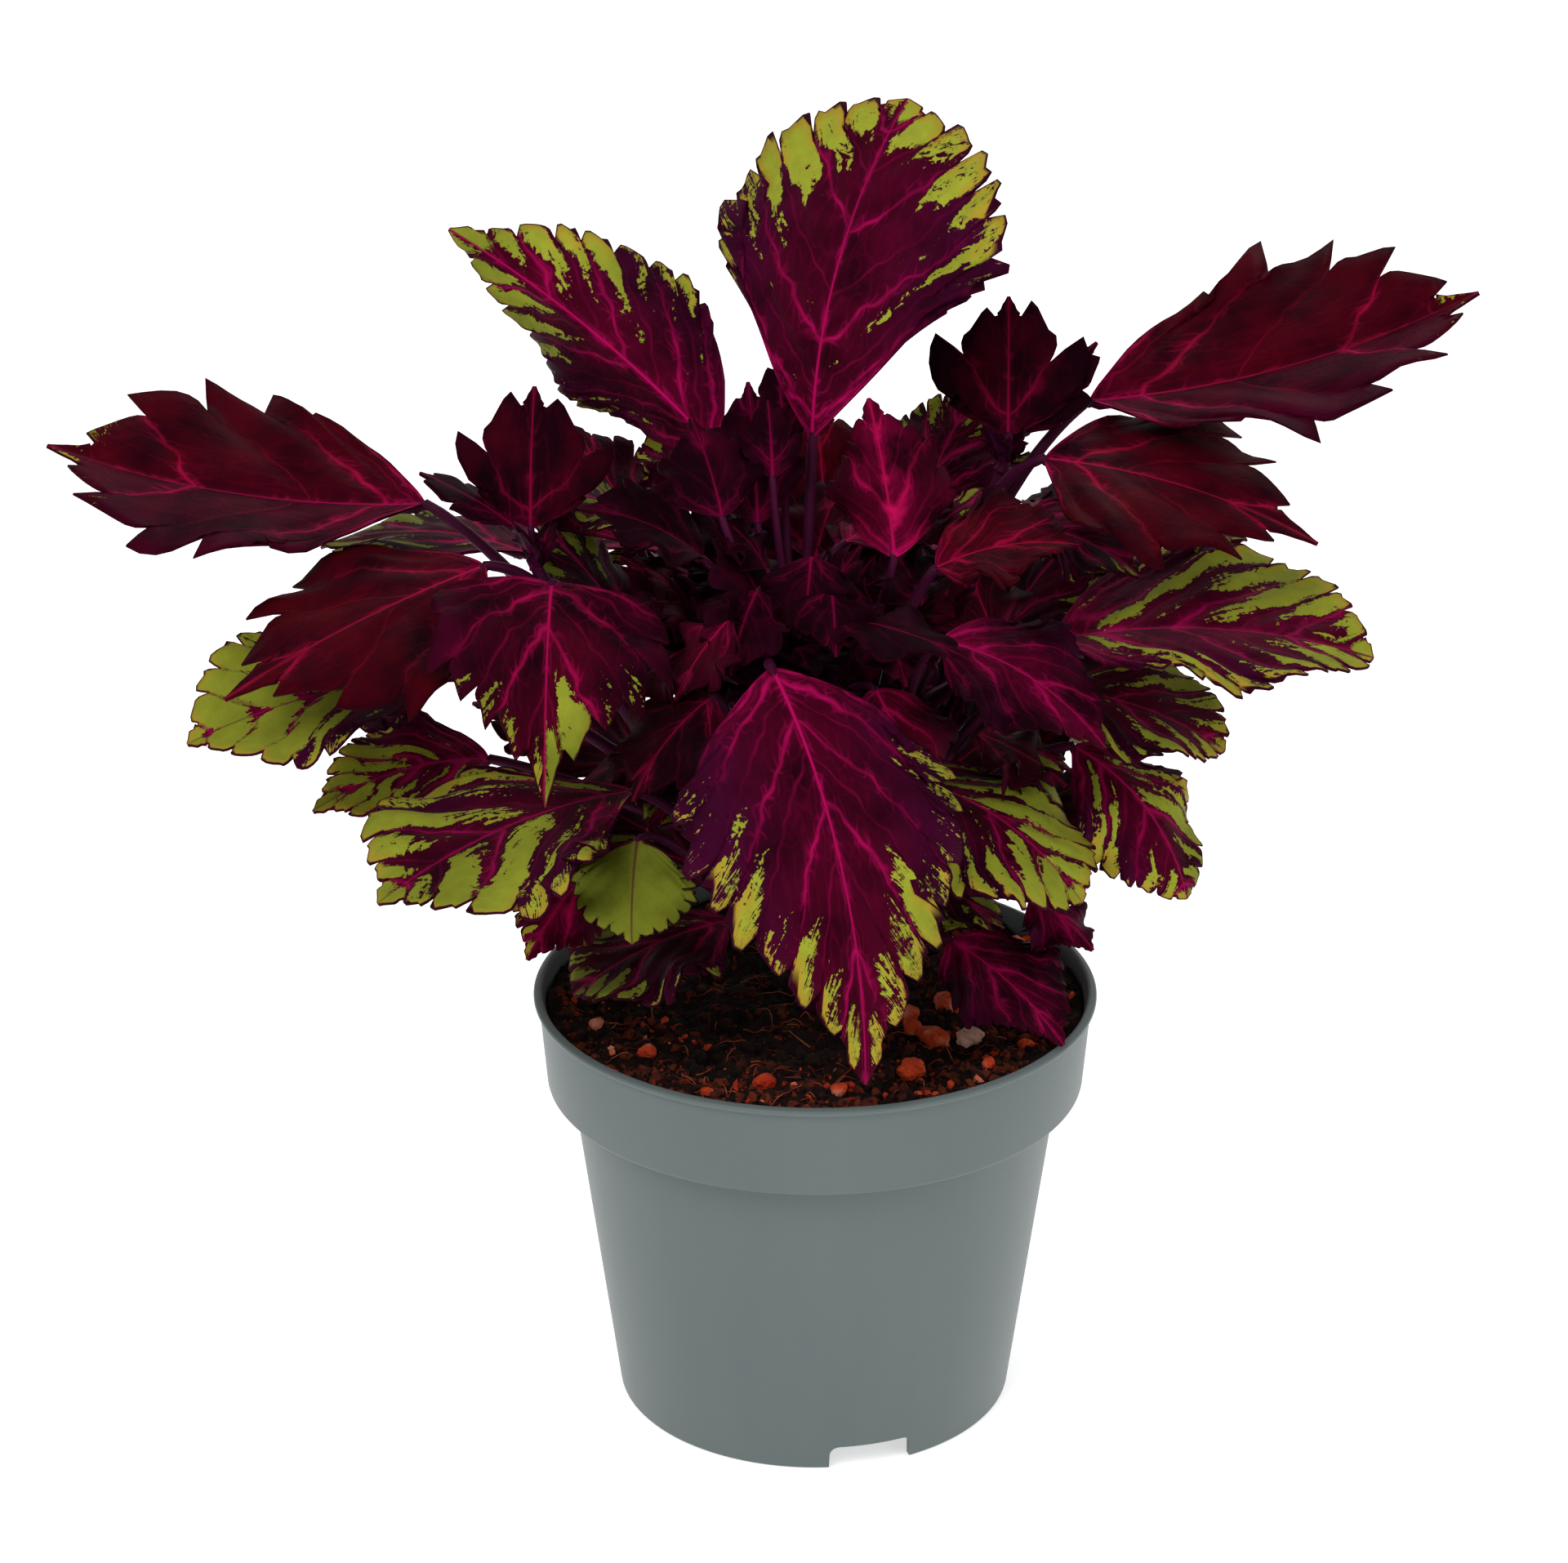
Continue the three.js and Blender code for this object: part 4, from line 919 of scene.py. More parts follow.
def lime_skin(tree, f, tones):
    """Lime in two tones, darkened to moss green by the shade field, partly painted shade, with plum veins
    and rusty teeth.
    """
    # painted shade in part: lime turns moss green where the shade field is high
    lime_in_shade = add(tree, "Math", (f["shade"], 0.75), operation="MULTIPLY")
    plum = add(tree, "Math", (f["side_line"], f["vivid"]), operation="MULTIPLY")
    plum = add(tree, "Math", (plum, f["rib_line"]), operation="MAXIMUM")
    plum = add(tree, "Math", (plum, 0.75), operation="MULTIPLY")
    rusty = add(tree, "Math", (f["dry"], f["soft"]), operation="MULTIPLY")
    rusty = add(tree, "Math", (rusty, lime_in_shade), operation="SUBTRACT", use_clamp=True)
    colour = srgb(tones["lime"])
    for share, tone in ((f["soft"], "light"), (lime_in_shade, "moss"), (plum, "plum"), (rusty, "rust")):
        colour = add(tree, "Mix", {0: share, 6: colour, 7: srgb(tones[tone])}, 2, data_type="RGBA")
    return colour


print("lime patches ready")

# %% [markdown]
# Both faces of a leaf are made by the same steps. The upper one is darker and deeper in colour,
# the lower one paler and duller. Short hairs break the gloss of both, so there is hardly any
# mirror-like shine, and what is left has a pink sheen.


# %% Upper and lower skin
def leaf_skin(name, tones, roughness):
    """A leaf face in the colours of its tones."""
    made, tree, shader = new_material(name)
    f = skin_measures(tree)
    drawn, halo = vein_strength(tree, f)
    colour = red_skin(tree, f, tones, drawn, halo)
    green = lime_skin(tree, f, tones)
    colour = add(tree, "Mix", {0: lime_mask(tree, f), 6: colour, 7: green}, 2, data_type="RGBA")
    colour = add(tree, "Mix", {0: f["rim"], 6: colour, 7: srgb(tones["rim"])}, 2, data_type="RGBA")
    tree.links.new(colour, shader.inputs["Base Color"])
    relief = add(tree, "Math", (drawn, -0.8, f["fine"]), operation="MULTIPLY_ADD")
    bump = add(tree, "Bump", {"Height": relief, "Strength": 0.45, "Distance": 0.4 * MM})
    tree.links.new(bump, shader.inputs["Normal"])
    shader.inputs["Roughness"].default_value = roughness
    shader.inputs["Specular IOR Level"].default_value = 0.03
    shader.inputs["Specular Tint"].default_value = srgb("#c04078")
    return made


# outer, the purple towards the margin, is partly a painted sheen
UPPER_SKIN = leaf_skin("coleus leaf, upper skin", dict(
    ground="#42041a", outer="#3a0826", deep="#16030b", red="#44040d", halo="#62042a",
    vein="#ba0e5c", ember="#b41038", moss="#28320a", lime="#84882a", light="#a2aa34",
    plum="#4c0a26", rust="#b4782c", rim="#26060e"), 0.55)
LOWER_SKIN = leaf_skin("coleus leaf, lower skin", dict(
    ground="#4c0a34", outer="#4c0a34", deep="#24061c", red="#540c28", halo="#701048",
    vein="#841a54", ember="#841a44", moss="#444c1c", lime="#70743a", light="#84884a",
    plum="#581640", rust="#7a4c2c", rim="#2c0a18"), 0.6)
print("skins:", UPPER_SKIN.name, "and", LOWER_SKIN.name)

# %% [markdown]
# Stems and petioles are fleshy, square and violet, a little shiny, with paler ridges. The same
# material serves both, since a petiole is skin of the same kind.

# %% Stem skin
STEM_SKIN, tree, shader = new_material("coleus stem skin")
place = add(tree, "TexCoord", output="Object")
FIBRES_PER_METRE, PATCHES_PER_METRE = 260, 40  # fibres 4 mm long, patches 25 mm long
fibres = add(tree, "TexNoise", {"Vector": place, "Scale": FIBRES_PER_METRE, "Detail": 3.0})
patches = add(tree, "TexNoise", {"Vector": place, "Scale": PATCHES_PER_METRE, "Detail": 2.0})
colour = add(tree, "Mix", {0: patches, 6: srgb("#1a0414"), 7: srgb("#420a2a")}, 2, data_type="RGBA")
pale = add(tree, "Math", (fibres, 0.3), operation="MULTIPLY")
colour = add(tree, "Mix", {0: pale, 6: colour, 7: srgb("#5e1240")}, 2, data_type="RGBA")
tree.links.new(colour, shader.inputs["Base Color"])
bump = add(tree, "Bump", {"Height": fibres, "Strength": 0.3, "Distance": 0.3 * MM})
tree.links.new(bump, shader.inputs["Normal"])
shader.inputs["Roughness"].default_value = 0.45
shader.inputs["Specular IOR Level"].default_value = 0.06
LEAF_SKINS = [UPPER_SKIN, LOWER_SKIN, STEM_SKIN]
print("leaf materials:", [m.name for m in LEAF_SKINS])

# %% [markdown]
# ## The large leaves
# Each large leaf is a piece of its own, as it is on the plant, and stands for the plain solid of
# the same name.

# %% Make the large leaves
for number, (name, stem, share, base, tip, width, habit, look) in enumerate(LEAVES):
    row = {**HABIT, **habit, "stem": stem, "share": share, "base": base, "tip": tip, "width": width}
    parts = Parts()
    add_leaf(parts, row, [LOOKS[half] for half in look.split("/")], 10 * number)
    leaf = parts.make(f"blade_{name}", LEAF_SKINS)
    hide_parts(f"leaf_{name}")
print("large leaves made:", len(LEAVES))

# %% [markdown]
# ## Shoot tips
# The youngest leaves crowd round each shoot's end in crossed pairs. They are nearly black and
# have few, pointed teeth. Between the shoots stand more dark leaves, which close the plant's
# middle; their near-black is partly the dark of young leaves and partly painted shade. The leaves
# of one shoot and its soft stem end make one piece, since they are too small and too close
# together to be told apart.

# %% The leaves of a shoot's end
TIP_PAIR = dict(length=11, width=7, rise=64, heading=40)
TIP_PAIRS = ((1.0, 0), (0.6, 12))  # size of each pair, and how much steeper it stands


def tip_pairs(stem):
    """The pair at the very end, and a smaller, steeper pair across it."""
    base = stem_point(stem, 0.98)
    for pair, (scale, steeper) in enumerate(TIP_PAIRS):
        for turn in (0, 180):
            way = direction(TIP_PAIR["heading"] + turn + 90 * pair, TIP_PAIR["rise"] + steeper)
            yield {**HABIT, **TINY, "arch": 30, "base": base, "width": TIP_PAIR["width"] * scale,
                   "tip": base + way * TIP_PAIR["length"] * scale}


# most of these are coloured shaded or black, partly as painted shade of the plant's middle
COVER = {  # dark leaves between the shoots: base, tip, width, look
    "centre": [
        ([-9, -8, 178], [-20, -4, 197], 26, "black"), ([-17, -14, 183], [-28, -20, 168], 20, "shaded"),
        ([-1, -12, 195], [-2, -18, 183], 18, "black"), ([0, -6, 177], [8, -2, 192], 26, "black"),
        ([-19, 4, 172], [-34, 8, 184], 28, "shaded"), ([-22, 2, 169], [-29, 6, 182], 24, "black"),
        ([-4, -6, 173], [2, -10, 162], 24, "black"), ([17, 8, 171], [32, 12, 181], 30, "shaded"),
        ([16, 4, 170], [32, 2, 174], 24, "shaded"), ([7, 10, 180], [20, 16, 192], 26, "black"),
        ([-17, 12, 183], [-25, 16, 198], 24, "black"), ([22, 20, 187], [36, 24, 196], 24, "striped"),
        ([-23, 6, 173], [-39, 12, 185], 28, "shaded"), ([37, 6, 170], [31, 12, 183], 26, "shaded"),
        ([22, 0, 180], [14, 4, 193], 22, "black")],
    "front_left": [
        ([-25, -4, 173], [-39, -8, 163], 26, "shaded"), ([-25, -2, 152], [-44, -6, 141], 28, "shaded"),
        ([-20, -4, 156], [-34, -10, 140], 24, "black"), ([-28, 2, 147], [-49, 6, 138], 26, "shaded"),
        ([-24, -4, 142], [-34, -12, 136], 22, "edged")],
    "front_right": [
        ([34, 4, 150], [51, 0, 141], 26, "shaded"), ([37, 8, 147], [52, 6, 142], 26, "edged"),
        ([21, -2, 120], [38, -8, 112], 28, "edged")],
}


CROWD = dict(count=22, middle=(-3, 9), radius=10, low=146, high=190, reach=25, rise=24, width=27, front=-4)
GOLDEN_ANGLE, GOLDEN_SHARE = 137.5, 0.618  # steps that never repeat, in degrees and in height
MAIN_FOOT, MAIN_RUN = 70, 110  # mm: turn a leaf's height into a share of the main stem below it


def crowd():
    """Young leaves on every side of the main stem, each turned by the golden angle."""
    for k in range(CROWD["count"]):
        way = direction(20 + GOLDEN_ANGLE * k, CROWD["rise"] + 14 * math.sin(2.3 * k))
        height = CROWD["low"] + (CROWD["high"] - CROWD["low"]) * (k * GOLDEN_SHARE % 1)
        base = np.array([*CROWD["middle"], height]) + way * [CROWD["radius"], CROWD["radius"], 0]
        if base[1] < CROWD["front"]:
            continue
        tip = base + way * CROWD["reach"] * (0.8 + 0.2 * math.sin(k))
        yield {**HABIT, **DARK_LEAF, "base": base, "tip": tip, "width": CROWD["width"],
               "stem": "main", "share": min(0.95, (height - MAIN_FOOT) / MAIN_RUN)}


def shoot_leaves(name, stem):
    """Row, look and seed of each leaf in one shoot's end."""
    for k, (on, share, base, tip, width, habit) in enumerate(SMALL[name]):
        place = {"stem": on, "share": share, "base": base, "tip": tip, "width": width}
        row = {**HABIT, **habit, **place, "round": DARK_LEAF["round"]}
        yield row, "black" if width < 27 else "dusky", 10 * k
    # the crowd is coloured black or shaded, partly as painted shade of the plant's middle
    for k, row in enumerate(crowd() if name == "centre" else ()):
        yield row, "black" if k % 3 else "shaded", 400 + 10 * k
    for k, (base, tip, width, look) in enumerate(COVER.get(name, ())):
        yield {**HABIT, **DARK_LEAF, "base": base, "tip": tip, "width": width}, look, 300 + 10 * k
    for k, row in enumerate(tip_pairs(stem)):
        yield row, "black", 500 + k


print("leaves placed by hand between the shoots:", sum(len(rows) for rows in COVER.values()))

# %% Make the shoot tips
for number, name in enumerate(SMALL):
    stem = "main" if name == "centre" else name
    parts = Parts()
    for row, look, seed in shoot_leaves(name, stem):
        add_leaf(parts, row, [LOOKS[look]], 1000 * number + seed)
    f = np.linspace(STEMS[stem][5] - 0.02, 1.0, 12)
    points, faces = tube(stem_point(stem, f), np.linspace(STEMS[stem][4] * 1.2, 1.1, 12), 16, 0.6)
    parts.take(points, faces, 2)
    shoot = parts.make(f"young_shoot_{name}", LEAF_SKINS)
    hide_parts(f"shoot_tip_{name}")
print("shoot tips made:", len(SMALL))

# %% [markdown]
# ## Stems
# Plants of the mint family, coleus among them, have square stems that swell a little where leaves
# stand. A curve with a bevel would be round all along, so each stem is a tube whose section is
# pulled towards a square. All of them are one piece, as they are one piece of the plant.

# %% Make the stems
parts = Parts()
for name, (a, middle, b, thick, thin, cut) in STEMS.items():
    f = np.linspace(0, cut, 40)
    swelling = 1 + 0.12 * np.exp(-(((f * 6) % 1 - 0.5) / 0.12) ** 2)  # nodes, where leaves stand
    radii = (thick + (thin - thick) * f) * 1.1 * swelling
    points, faces = tube(stem_point(name, f), radii, 16, 0.8)
    parts.take(points, faces)
stems = parts.make("square_stems", [STEM_SKIN])
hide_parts("stems")
print("stems made:", len(STEMS))

# %% [markdown]
# ## Peat
# Potting peat is a bed of dark, moist crumbs with root fibres and a few pieces of bark on top.
# The bed is one solid plug that fills the pot. Crumbs, fibres and bark are separate pieces, each
# one a small irregular solid that is half sunk in the bed.

# %% Sizes of the pot and the peat
SOIL_TOP = 88
POT_HEIGHT, BAND_BOTTOM, BAND_RADIUS, RIM_RADIUS = 93.8, 73, 57.4, 60
BODY_TOP, BASE_RADIUS, WALL, FLOOR_TOP = 52.3, 42.6, 1.3, 7.4
random = np.random.default_rng(7)


def inside(z):
    """Inner radius of the pot's wall at height z."""
    if z >= BAND_BOTTOM + WALL:
        rise, whole = z - BAND_BOTTOM, POT_HEIGHT - BAND_BOTTOM
        return BAND_RADIUS + (RIM_RADIUS - 1 - BAND_RADIUS) * rise / whole - WALL
    return BASE_RADIUS + (BODY_TOP - BASE_RADIUS) * z / BAND_BOTTOM - WALL


def soil_height(x, y):
    """Height of the bed: low swells, crumbs of three sizes, and a slope up to the wall."""
    plain = np.sin(x * 0.31 + 1) * np.cos(y * 0.27) + 0.6 * np.sin(x * 0.13 - y * 0.45 + 2)
    rough = 0.9 * lumps(x, y, 4.5) + 0.5 * lumps(x + 9, y, 1.9) + 0.25 * lumps(x, y + 5, 0.9)
    return SOIL_TOP + 0.66 * plain + rough + 2.4 * smooth(np.hypot(x, y), 38, 56)


print("radius at the peat:", round(inside(SOIL_TOP), 1), "mm")

# %% [markdown]
# Peat, bark and roots are all organic matter with no gloss: clouds of three browns with a fine
# grain. On the bark the palest of the three is partly a painted highlight. One function makes
# them, and each crumb carries a tone of its own, so that no two neighbours look alike.


# %% Peat, bark and root
def peat_material(name, colours, size, strength):
    """Crumbly organic matter: three browns in clouds, matt, with a grain of the given size in mm."""
    made, tree, shader = new_material(name)
    place = add(tree, "TexCoord", output="Object")
    coarse = add(tree, "TexNoise", {"Vector": place, "Scale": 1000 / (4 * size), "Detail": 4.0})
    fine = add(tree, "TexNoise", {"Vector": place, "Scale": 1000 / size, "Detail": 5.0})
    tone = add(tree, "Attribute", output="Fac", attribute_name="tone")
    tone = add(tree, "Math", (coarse, 1.6, tone), operation="MULTIPLY_ADD")
    tone = add(tree, "Math", (tone, 0.8), operation="SUBTRACT", use_clamp=True)
    ramp = add(tree, "ValToRGB", {"Fac": tone})
    ramp.node.color_ramp.elements[0].color = srgb(colours[0])
    ramp.node.color_ramp.elements[1].color = srgb(colours[2])
    ramp.node.color_ramp.elements.new(0.5).color = srgb(colours[1])
    dark = add(tree, "Math", (fine, 0.5), operation="MULTIPLY")
    colour = add(tree, "Mix", {0: dark, 6: ramp, 7: srgb(colours[0])}, 2, data_type="RGBA")
    tree.links.new(colour, shader.inputs["Base Color"])
    bump = add(tree, "Bump", {"Height": fine, "Strength": strength, "Distance": size * MM})
    tree.links.new(bump, shader.inputs["Normal"])
    shader.inputs["Roughness"].default_value = 0.85
    shader.inputs["Specular IOR Level"].default_value = 0.2
    return made


PEAT = peat_material("moist sphagnum peat", ("#0a0403", "#2a120b", "#7c3018"), 0.8, 0.9)
# the bark's pale third colour is partly a painted highlight
BARK = peat_material("composted pine bark", ("#a82610", "#f05c2e", "#f8ccb4"), 1.0, 0.9)
ROOT = peat_material("root and coir fibre", ("#48140a", "#8a3420", "#b8683e"), 0.5, 0.3)
print("matt materials:", [m.name for m in (PEAT, BARK, ROOT)])

# %% [markdown]
# The bed is a set of rings: close together on top, where the surface is lumpy, then a few down
# the wall and across the pot's floor. A displaced cylinder would need a modifier and would be
# finest where nobody looks.

# %% The bed
RINGS, SPOKES = 72, 260
PLAY = 0.35  # mm between the peat and the wall at the top
DEEPER = (  # further down: radius and height of each ring
    (inside(SOIL_TOP - 3) - PLAY, SOIL_TOP - 3),
    (inside(76) - 0.5, 76),
    (inside(72) - 0.6, 73),
    (inside(FLOOR_TOP) - 0.6, FLOOR_TOP + 0.3),
    (0.3, FLOOR_TOP + 0.3),
)
radius = np.linspace(0.02, 1, RINGS)[:, None] ** 0.8 * (inside(SOIL_TOP) - PLAY)
angle = round_angles(SPOKES)
x, y = radius * np.cos(angle), radius * np.sin(angle)
bed = [np.stack([x, y, soil_height(x, y)], -1)]
for r, z in DEEPER:
    bed.append(np.stack([r * np.cos(angle), r * np.sin(angle), np.full(SPOKES, z)], -1)[None])
bed = np.concatenate(bed)
*walls, top_cap, floor_cap = ring_faces(len(bed), SPOKES)
# the rings go down, so every face is turned over
faces = [[a, d, c, b] for a, b, c, d in walls] + [top_cap[::-1], floor_cap[::-1]]
parts = Parts()
parts.take(bed.reshape(-1, 3), faces, tone=0.25)
soil = parts.make("peat_bed", [PEAT])
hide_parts("soil")
print("bed faces:", len(faces))

# %% [markdown]
# Crumbs could be scattered as instances, but a piece that is to be used elsewhere has to be plain
# geometry. Each crumb is a rough ball, flattened, turned at random and pressed into the bed. More
# of them lie near the wall, where watering leaves them.


# %% Crumbs
def pebble(detail):
    """Points and faces of a round solid with 20, 80 or 320 faces."""
    made = bpy.data.meshes.new("pebble")
    work = bmesh.new()
    bmesh.ops.create_icosphere(work, subdivisions=detail, radius=1)
    work.to_mesh(made)
    work.free()
    points = np.array([v.co[:] for v in made.vertices])
    faces = [list(p.vertices) for p in made.polygons]
    bpy.data.meshes.remove(made)
    return points, faces


def turned(points):
    """The points in a random position."""
    basis, _ = np.linalg.qr(random.normal(size=(3, 3)))
    return points @ (basis * np.sign(np.linalg.det(basis)))


def scatter(parts, count, shape, sizes, flat, sunk, rough, tones, inner=0):
    """Strews rough solids over the bed; inner keeps them out of that share of its middle."""
    points, faces = shape
    for _ in range(count):
        r = math.sqrt(inner + (1 - inner) * random.random()) * (inside(SOIL_TOP) - 2.5)
        a = random.random() * 2 * math.pi
        size = sizes[0] + (sizes[1] - sizes[0]) * random.random() ** 2.5
        lump = points * (1 + rough * random.normal(size=(len(points), 1))) * [1, 0.7, flat] * size
        lump = turned(lump)
        tone = tones[0] + (tones[1] - tones[0]) * random.random()
        px, py = r * math.cos(a), r * math.sin(a)
        place = [px, py, soil_height(px, py) + size * (0.5 - sunk)]
        parts.take(lump + place, faces, tone=tone)


parts = Parts()
scatter(parts, 2200, pebble(1), (0.35, 1.5), flat=0.7, sunk=0.45, rough=0.16, tones=(0.0, 1.0))
scatter(parts, 260, pebble(2), (1.0, 2.6), flat=0.6, sunk=0.5, rough=0.12, tones=(0.1, 0.7))
scatter(parts, 900, pebble(1), (0.5, 1.7), flat=0.7, sunk=0.3, rough=0.2, tones=(0.5, 1.1), inner=0.5)
crumbs = parts.make("peat_crumbs", [PEAT], smooth_faces=False)
print("crumb faces:", len(crumbs.data.polygons))

# %% Bark chips
# a pale chip is partly a painted highlight
CHIPS = [  # where the larger bark pieces lie: x, y, length, and 0 for red or 1 for pale
    (28, 0, 6.6, 0.5), (19.5, -6, 5.4, 0.42), (20.5, -10, 5.0, 0.5), (24, -13, 5.6, 0.4),
    (25.5, -18, 6.4, 0.45), (32.5, -18, 6.2, 1.0), (20, -33, 6.6, 0.42), (50, 3, 5.0, 0.42),
    (48, 14, 4.8, 0.5), (44, 25, 4.8, 0.45), (5, -41, 4.2, 0.6), (-35, -26, 4.2, 0.4),
    (-10.5, -37, 5.0, 0.1), (11, -28, 3.6, 0.3), (36, -32, 3.4, 0.35), (-48, 12, 4.2, 0.3),
    (-22, -44, 3.4, 0.2), (44, -22, 3.6, 0.4), (-46, -14, 3.6, 0.5), (-28, 40, 4.6, 0.3),
    (8, 49, 4.0, 0.45), (28, 38, 4.2, 0.4),
]
CHIP_FORM = np.array([0.5, 0.38, 0.34])  # half length, width and height of a chip 1 mm long
points, faces = pebble(3)
parts = Parts()
for px, py, size, tone in CHIPS:
    ridges = 1 + 0.12 * np.sin(points @ random.normal(size=3) * 3)
    ridges = ridges + 0.04 * random.normal(size=len(points))
    turn = random.random() * math.pi
    c, s = math.cos(turn), math.sin(turn)
    lump = points * ridges[:, None] * CHIP_FORM * size
    lump = lump @ np.array([[c, s, 0], [-s, c, 0], [0, 0, 1]])
    parts.take(lump + [px, py, soil_height(px, py) + 0.24 * size], faces, tone=tone)
scatter(parts, 260, pebble(1), (0.4, 1.5), flat=0.6, sunk=0.3, rough=0.2, tones=(0.0, 0.6), inner=0.3)
bark = parts.make("bark_chips", [BARK], smooth_faces=False)
print("large chips:", len(CHIPS))

# %% Root fibres
FIBRES, FIBRE_POINTS = 300, 8
parts = Parts()
for _ in range(FIBRES):
    r, a = math.sqrt(random.random()) * 50, random.random() * 2 * math.pi
    heading = random.random() * 2 * math.pi
    length = 3 + 10 * random.random() ** 3
    curl = heading + (random.random() - 0.5) * 3 * np.linspace(0, 1, FIBRE_POINTS)
    px = r * math.cos(a) + np.cumsum(np.cos(curl)) * length / FIBRE_POINTS
    py = r * math.sin(a) + np.cumsum(np.sin(curl)) * length / FIBRE_POINTS
    keep = np.hypot(px, py) < inside(SOIL_TOP) - 1.5
    if keep.sum() < 4:
        continue
    px, py = px[keep], py[keep]
    loop = np.sin(np.linspace(0, math.pi, len(px)))
    pz = soil_height(px, py) + 0.4 + 1.1 * loop * random.random()
    points, faces = tube(np.stack([px, py, pz], 1), np.linspace(0.18, 0.06, len(px)), 5)
    parts.take(points, faces, tone=random.random())
fibres = parts.make("root_fibres", [ROOT])
print("fibre faces:", len(fibres.data.polygons))

# %% [markdown]
# ## Pot
# The pot is injection-moulded polypropylene, about a millimetre thick: a tapered body, a collar
# band that lets pots stack, a thin rolled lip, and a foot with three notches for draining. It is
# turned from one profile, and the notches and drain holes are cut out with a Boolean.

# %% Pot profile
SEGMENTS = 160
FOOT_RING, FOOT_HEIGHT, HUB = 2.2, 6, 9  # width of the ring it stands on, hollow's height, hub's radius
LIP_UNDER = POT_HEIGHT - 1.8


def arc(cx, cz, r, start, end, steps=5):
    """Points on an arc round (cx, cz), between two angles in degrees."""
    turn = np.radians(np.linspace(start, end, steps))
    return [(cx + r * math.cos(t), cz + r * math.sin(t)) for t in turn]


# radius and height of each ring: out under the foot, up the outside, then down the inside
hollow = BASE_RADIUS - FOOT_RING
profile = [(0.01, 0), (HUB, 0), (HUB, FOOT_HEIGHT), (hollow, FOOT_HEIGHT), (hollow, 0)]
profile += arc(BASE_RADIUS - 0.8, 0.8, 0.8, 270, 352)
profile += [(BODY_TOP - 0.35, BAND_BOTTOM - 2.4), (BODY_TOP, BAND_BOTTOM - 0.8)]
profile += arc(BODY_TOP + 0.8, BAND_BOTTOM - 0.75, 0.75, 180, 90, 4)
profile += arc(BAND_RADIUS - 1.0, BAND_BOTTOM + 1.0, 1.0, 270, 355)
profile += [(RIM_RADIUS - 1.1, LIP_UNDER - 0.2), (RIM_RADIUS - 0.8, LIP_UNDER)]
profile += arc(RIM_RADIUS - 0.7, LIP_UNDER + 0.9, 0.7, 300, 420, 6)
profile += arc(RIM_RADIUS - 1.3, POT_HEIGHT - 0.6, 0.6, 75, 170, 5)
profile += [(inside(LIP_UNDER), LIP_UNDER), (inside(BAND_BOTTOM + WALL), BAND_BOTTOM + WALL),
            (BODY_TOP - WALL, BAND_BOTTOM + 0.6), (inside(FLOOR_TOP), FLOOR_TOP), (0.01, FLOOR_TOP)]
angles = round_angles(SEGMENTS)
rings = np.array([[(r * math.cos(a), r * math.sin(a), z) for a in angles] for r, z in profile])
parts = Parts()
parts.take(rings.reshape(-1, 3), ring_faces(len(profile), SEGMENTS))
print("pot rings:", len(profile))

# %% [markdown]
# Moulded polypropylene is satin and slightly cloudy. The melt leaves faint streaks upwards along
# its flow, and recycled material shows dark flecks. Both are weak, or the pot would look dirty.

# %% Polypropylene
POLYPROPYLENE, tree, shader = new_material("injection-moulded polypropylene")
place = add(tree, "TexCoord", output="Object")
stretched = add(tree, "Mapping", {"Vector": place, "Scale": (1.0, 1.0, 0.12)})
STREAKS, GRAINS, FLECKS = 60, 1800, 420  # of each, to the metre
flow = add(tree, "TexNoise", {"Vector": stretched, "Scale": STREAKS, "Detail": 3.0})
grain = add(tree, "TexNoise", {"Vector": place, "Scale": GRAINS, "Detail": 2.0})
flecks = add(tree, "TexVoronoi", {"Vector": place, "Scale": FLECKS})
steps = {"Value": flecks, "From Min": 0.02, "From Max": 0.07, "To Min": 0.8, "To Max": 0.0}
fleck = add(tree, "MapRange", steps)
colour = add(tree, "Mix", {0: flow, 6: srgb("#5c6666"), 7: srgb("#646e6d")}, 2, data_type="RGBA")
colour = add(tree, "Mix", {0: fleck, 6: colour, 7: srgb("#4a5352")}, 2, data_type="RGBA")
tree.links.new(colour, shader.inputs["Base Color"])
bump = add(tree, "Bump", {"Height": grain, "Strength": 0.12, "Distance": 0.2 * MM})
tree.links.new(bump, shader.inputs["Normal"])
shader.inputs["Roughness"].default_value = 0.4
shader.inputs["Specular IOR Level"].default_value = 0.2
print("plastic:", POLYPROPYLENE.name)

# %% [markdown]
# The foot has three notches and the floor three drain holes. They are cut with a Boolean, which
# keeps the wall's real thickness at every cut. The result is applied at once, and the tools that
# cut are taken away.

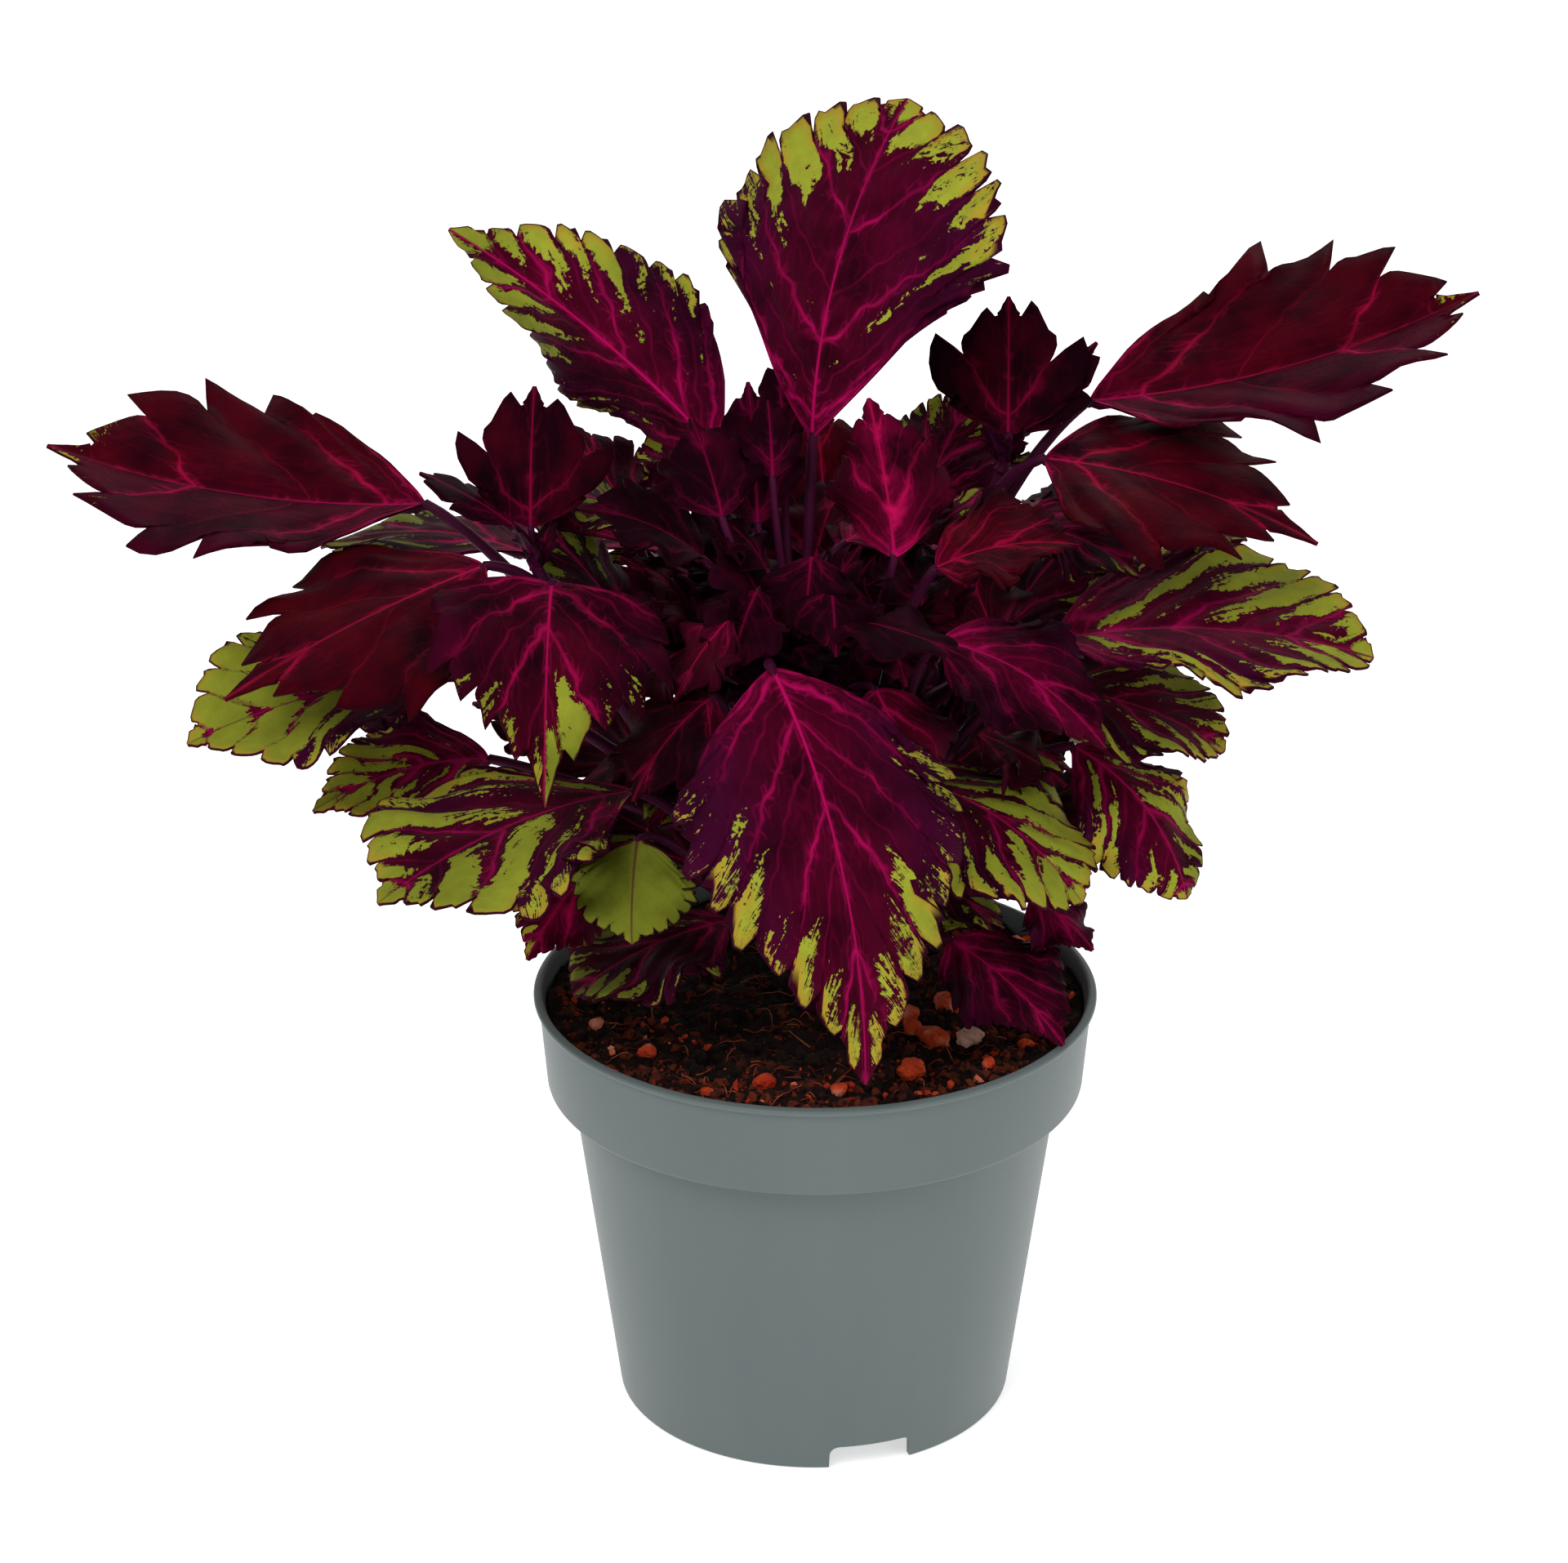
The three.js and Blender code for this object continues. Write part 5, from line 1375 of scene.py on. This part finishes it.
# %% Notches and drain holes
pot = parts.make("moulded_pot", [POLYPROPYLENE])
NOTCH = dict(width=18, height=5.5, corner=2, heading=286.6, near=BASE_RADIUS - 6, far=BASE_RADIUS + 3)
DRAIN = dict(radius=3.5, out=30, low=4, high=9.5, sides=24)
REPEATS = 3
SHARP = 32  # degrees between two faces from which their edge stays sharp


def cutter(points, faces):
    """A closed body that a Boolean takes away."""
    mesh = bpy.data.meshes.new("cutter")
    mesh.from_pydata((np.array(points) * MM).tolist(), [], faces)
    return put("cutter", mesh)


def prism(shape, near, far, heading):
    """An upright outline pushed outwards from the axis, at a compass heading."""
    c, s = math.cos(math.radians(heading)), math.sin(math.radians(heading))
    points = [(d * c - w * s, d * s + w * c, z) for d in (near, far) for w, z in shape]
    n = len(shape)
    sides = [[k, (k + 1) % n, (k + 1) % n + n, k + n] for k in range(n)]
    return cutter(points, sides + [list(range(n))[::-1], list(range(n, 2 * n))])


half, top, corner = NOTCH["width"] / 2, NOTCH["height"], NOTCH["corner"]
arch = [(-half, -1), (half, -1)]
arch += arc(half - corner, top - corner, corner, 0, 90, 6)
arch += arc(corner - half, top - corner, corner, 90, 180, 6)
headings = [NOTCH["heading"] + i * 360 / REPEATS for i in range(REPEATS)]
cutters = [prism(arch, NOTCH["near"], NOTCH["far"], heading) for heading in headings]
for heading in headings:
    middle = DRAIN["out"] * direction(heading + 180 / REPEATS, 0)
    path = [middle + [0, 0, z] for z in (DRAIN["low"], DRAIN["high"])]
    cutters.append(cutter(*tube(path, [DRAIN["radius"]] * 2, DRAIN["sides"])))
for tool in cutters:
    cut = pot.modifiers.new("cut", "BOOLEAN")
    cut.operation = "DIFFERENCE"
    cut.solver = "EXACT"
    cut.object = tool
pot.data = bpy.data.meshes.new_from_object(pot.evaluated_get(bpy.context.evaluated_depsgraph_get()))
pot.modifiers.clear()
for tool in cutters:
    bpy.data.objects.remove(tool)
pot.data.set_sharp_from_angle(angle=math.radians(SHARP))
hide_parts("pot")
print("pot faces:", len(pot.data.polygons))
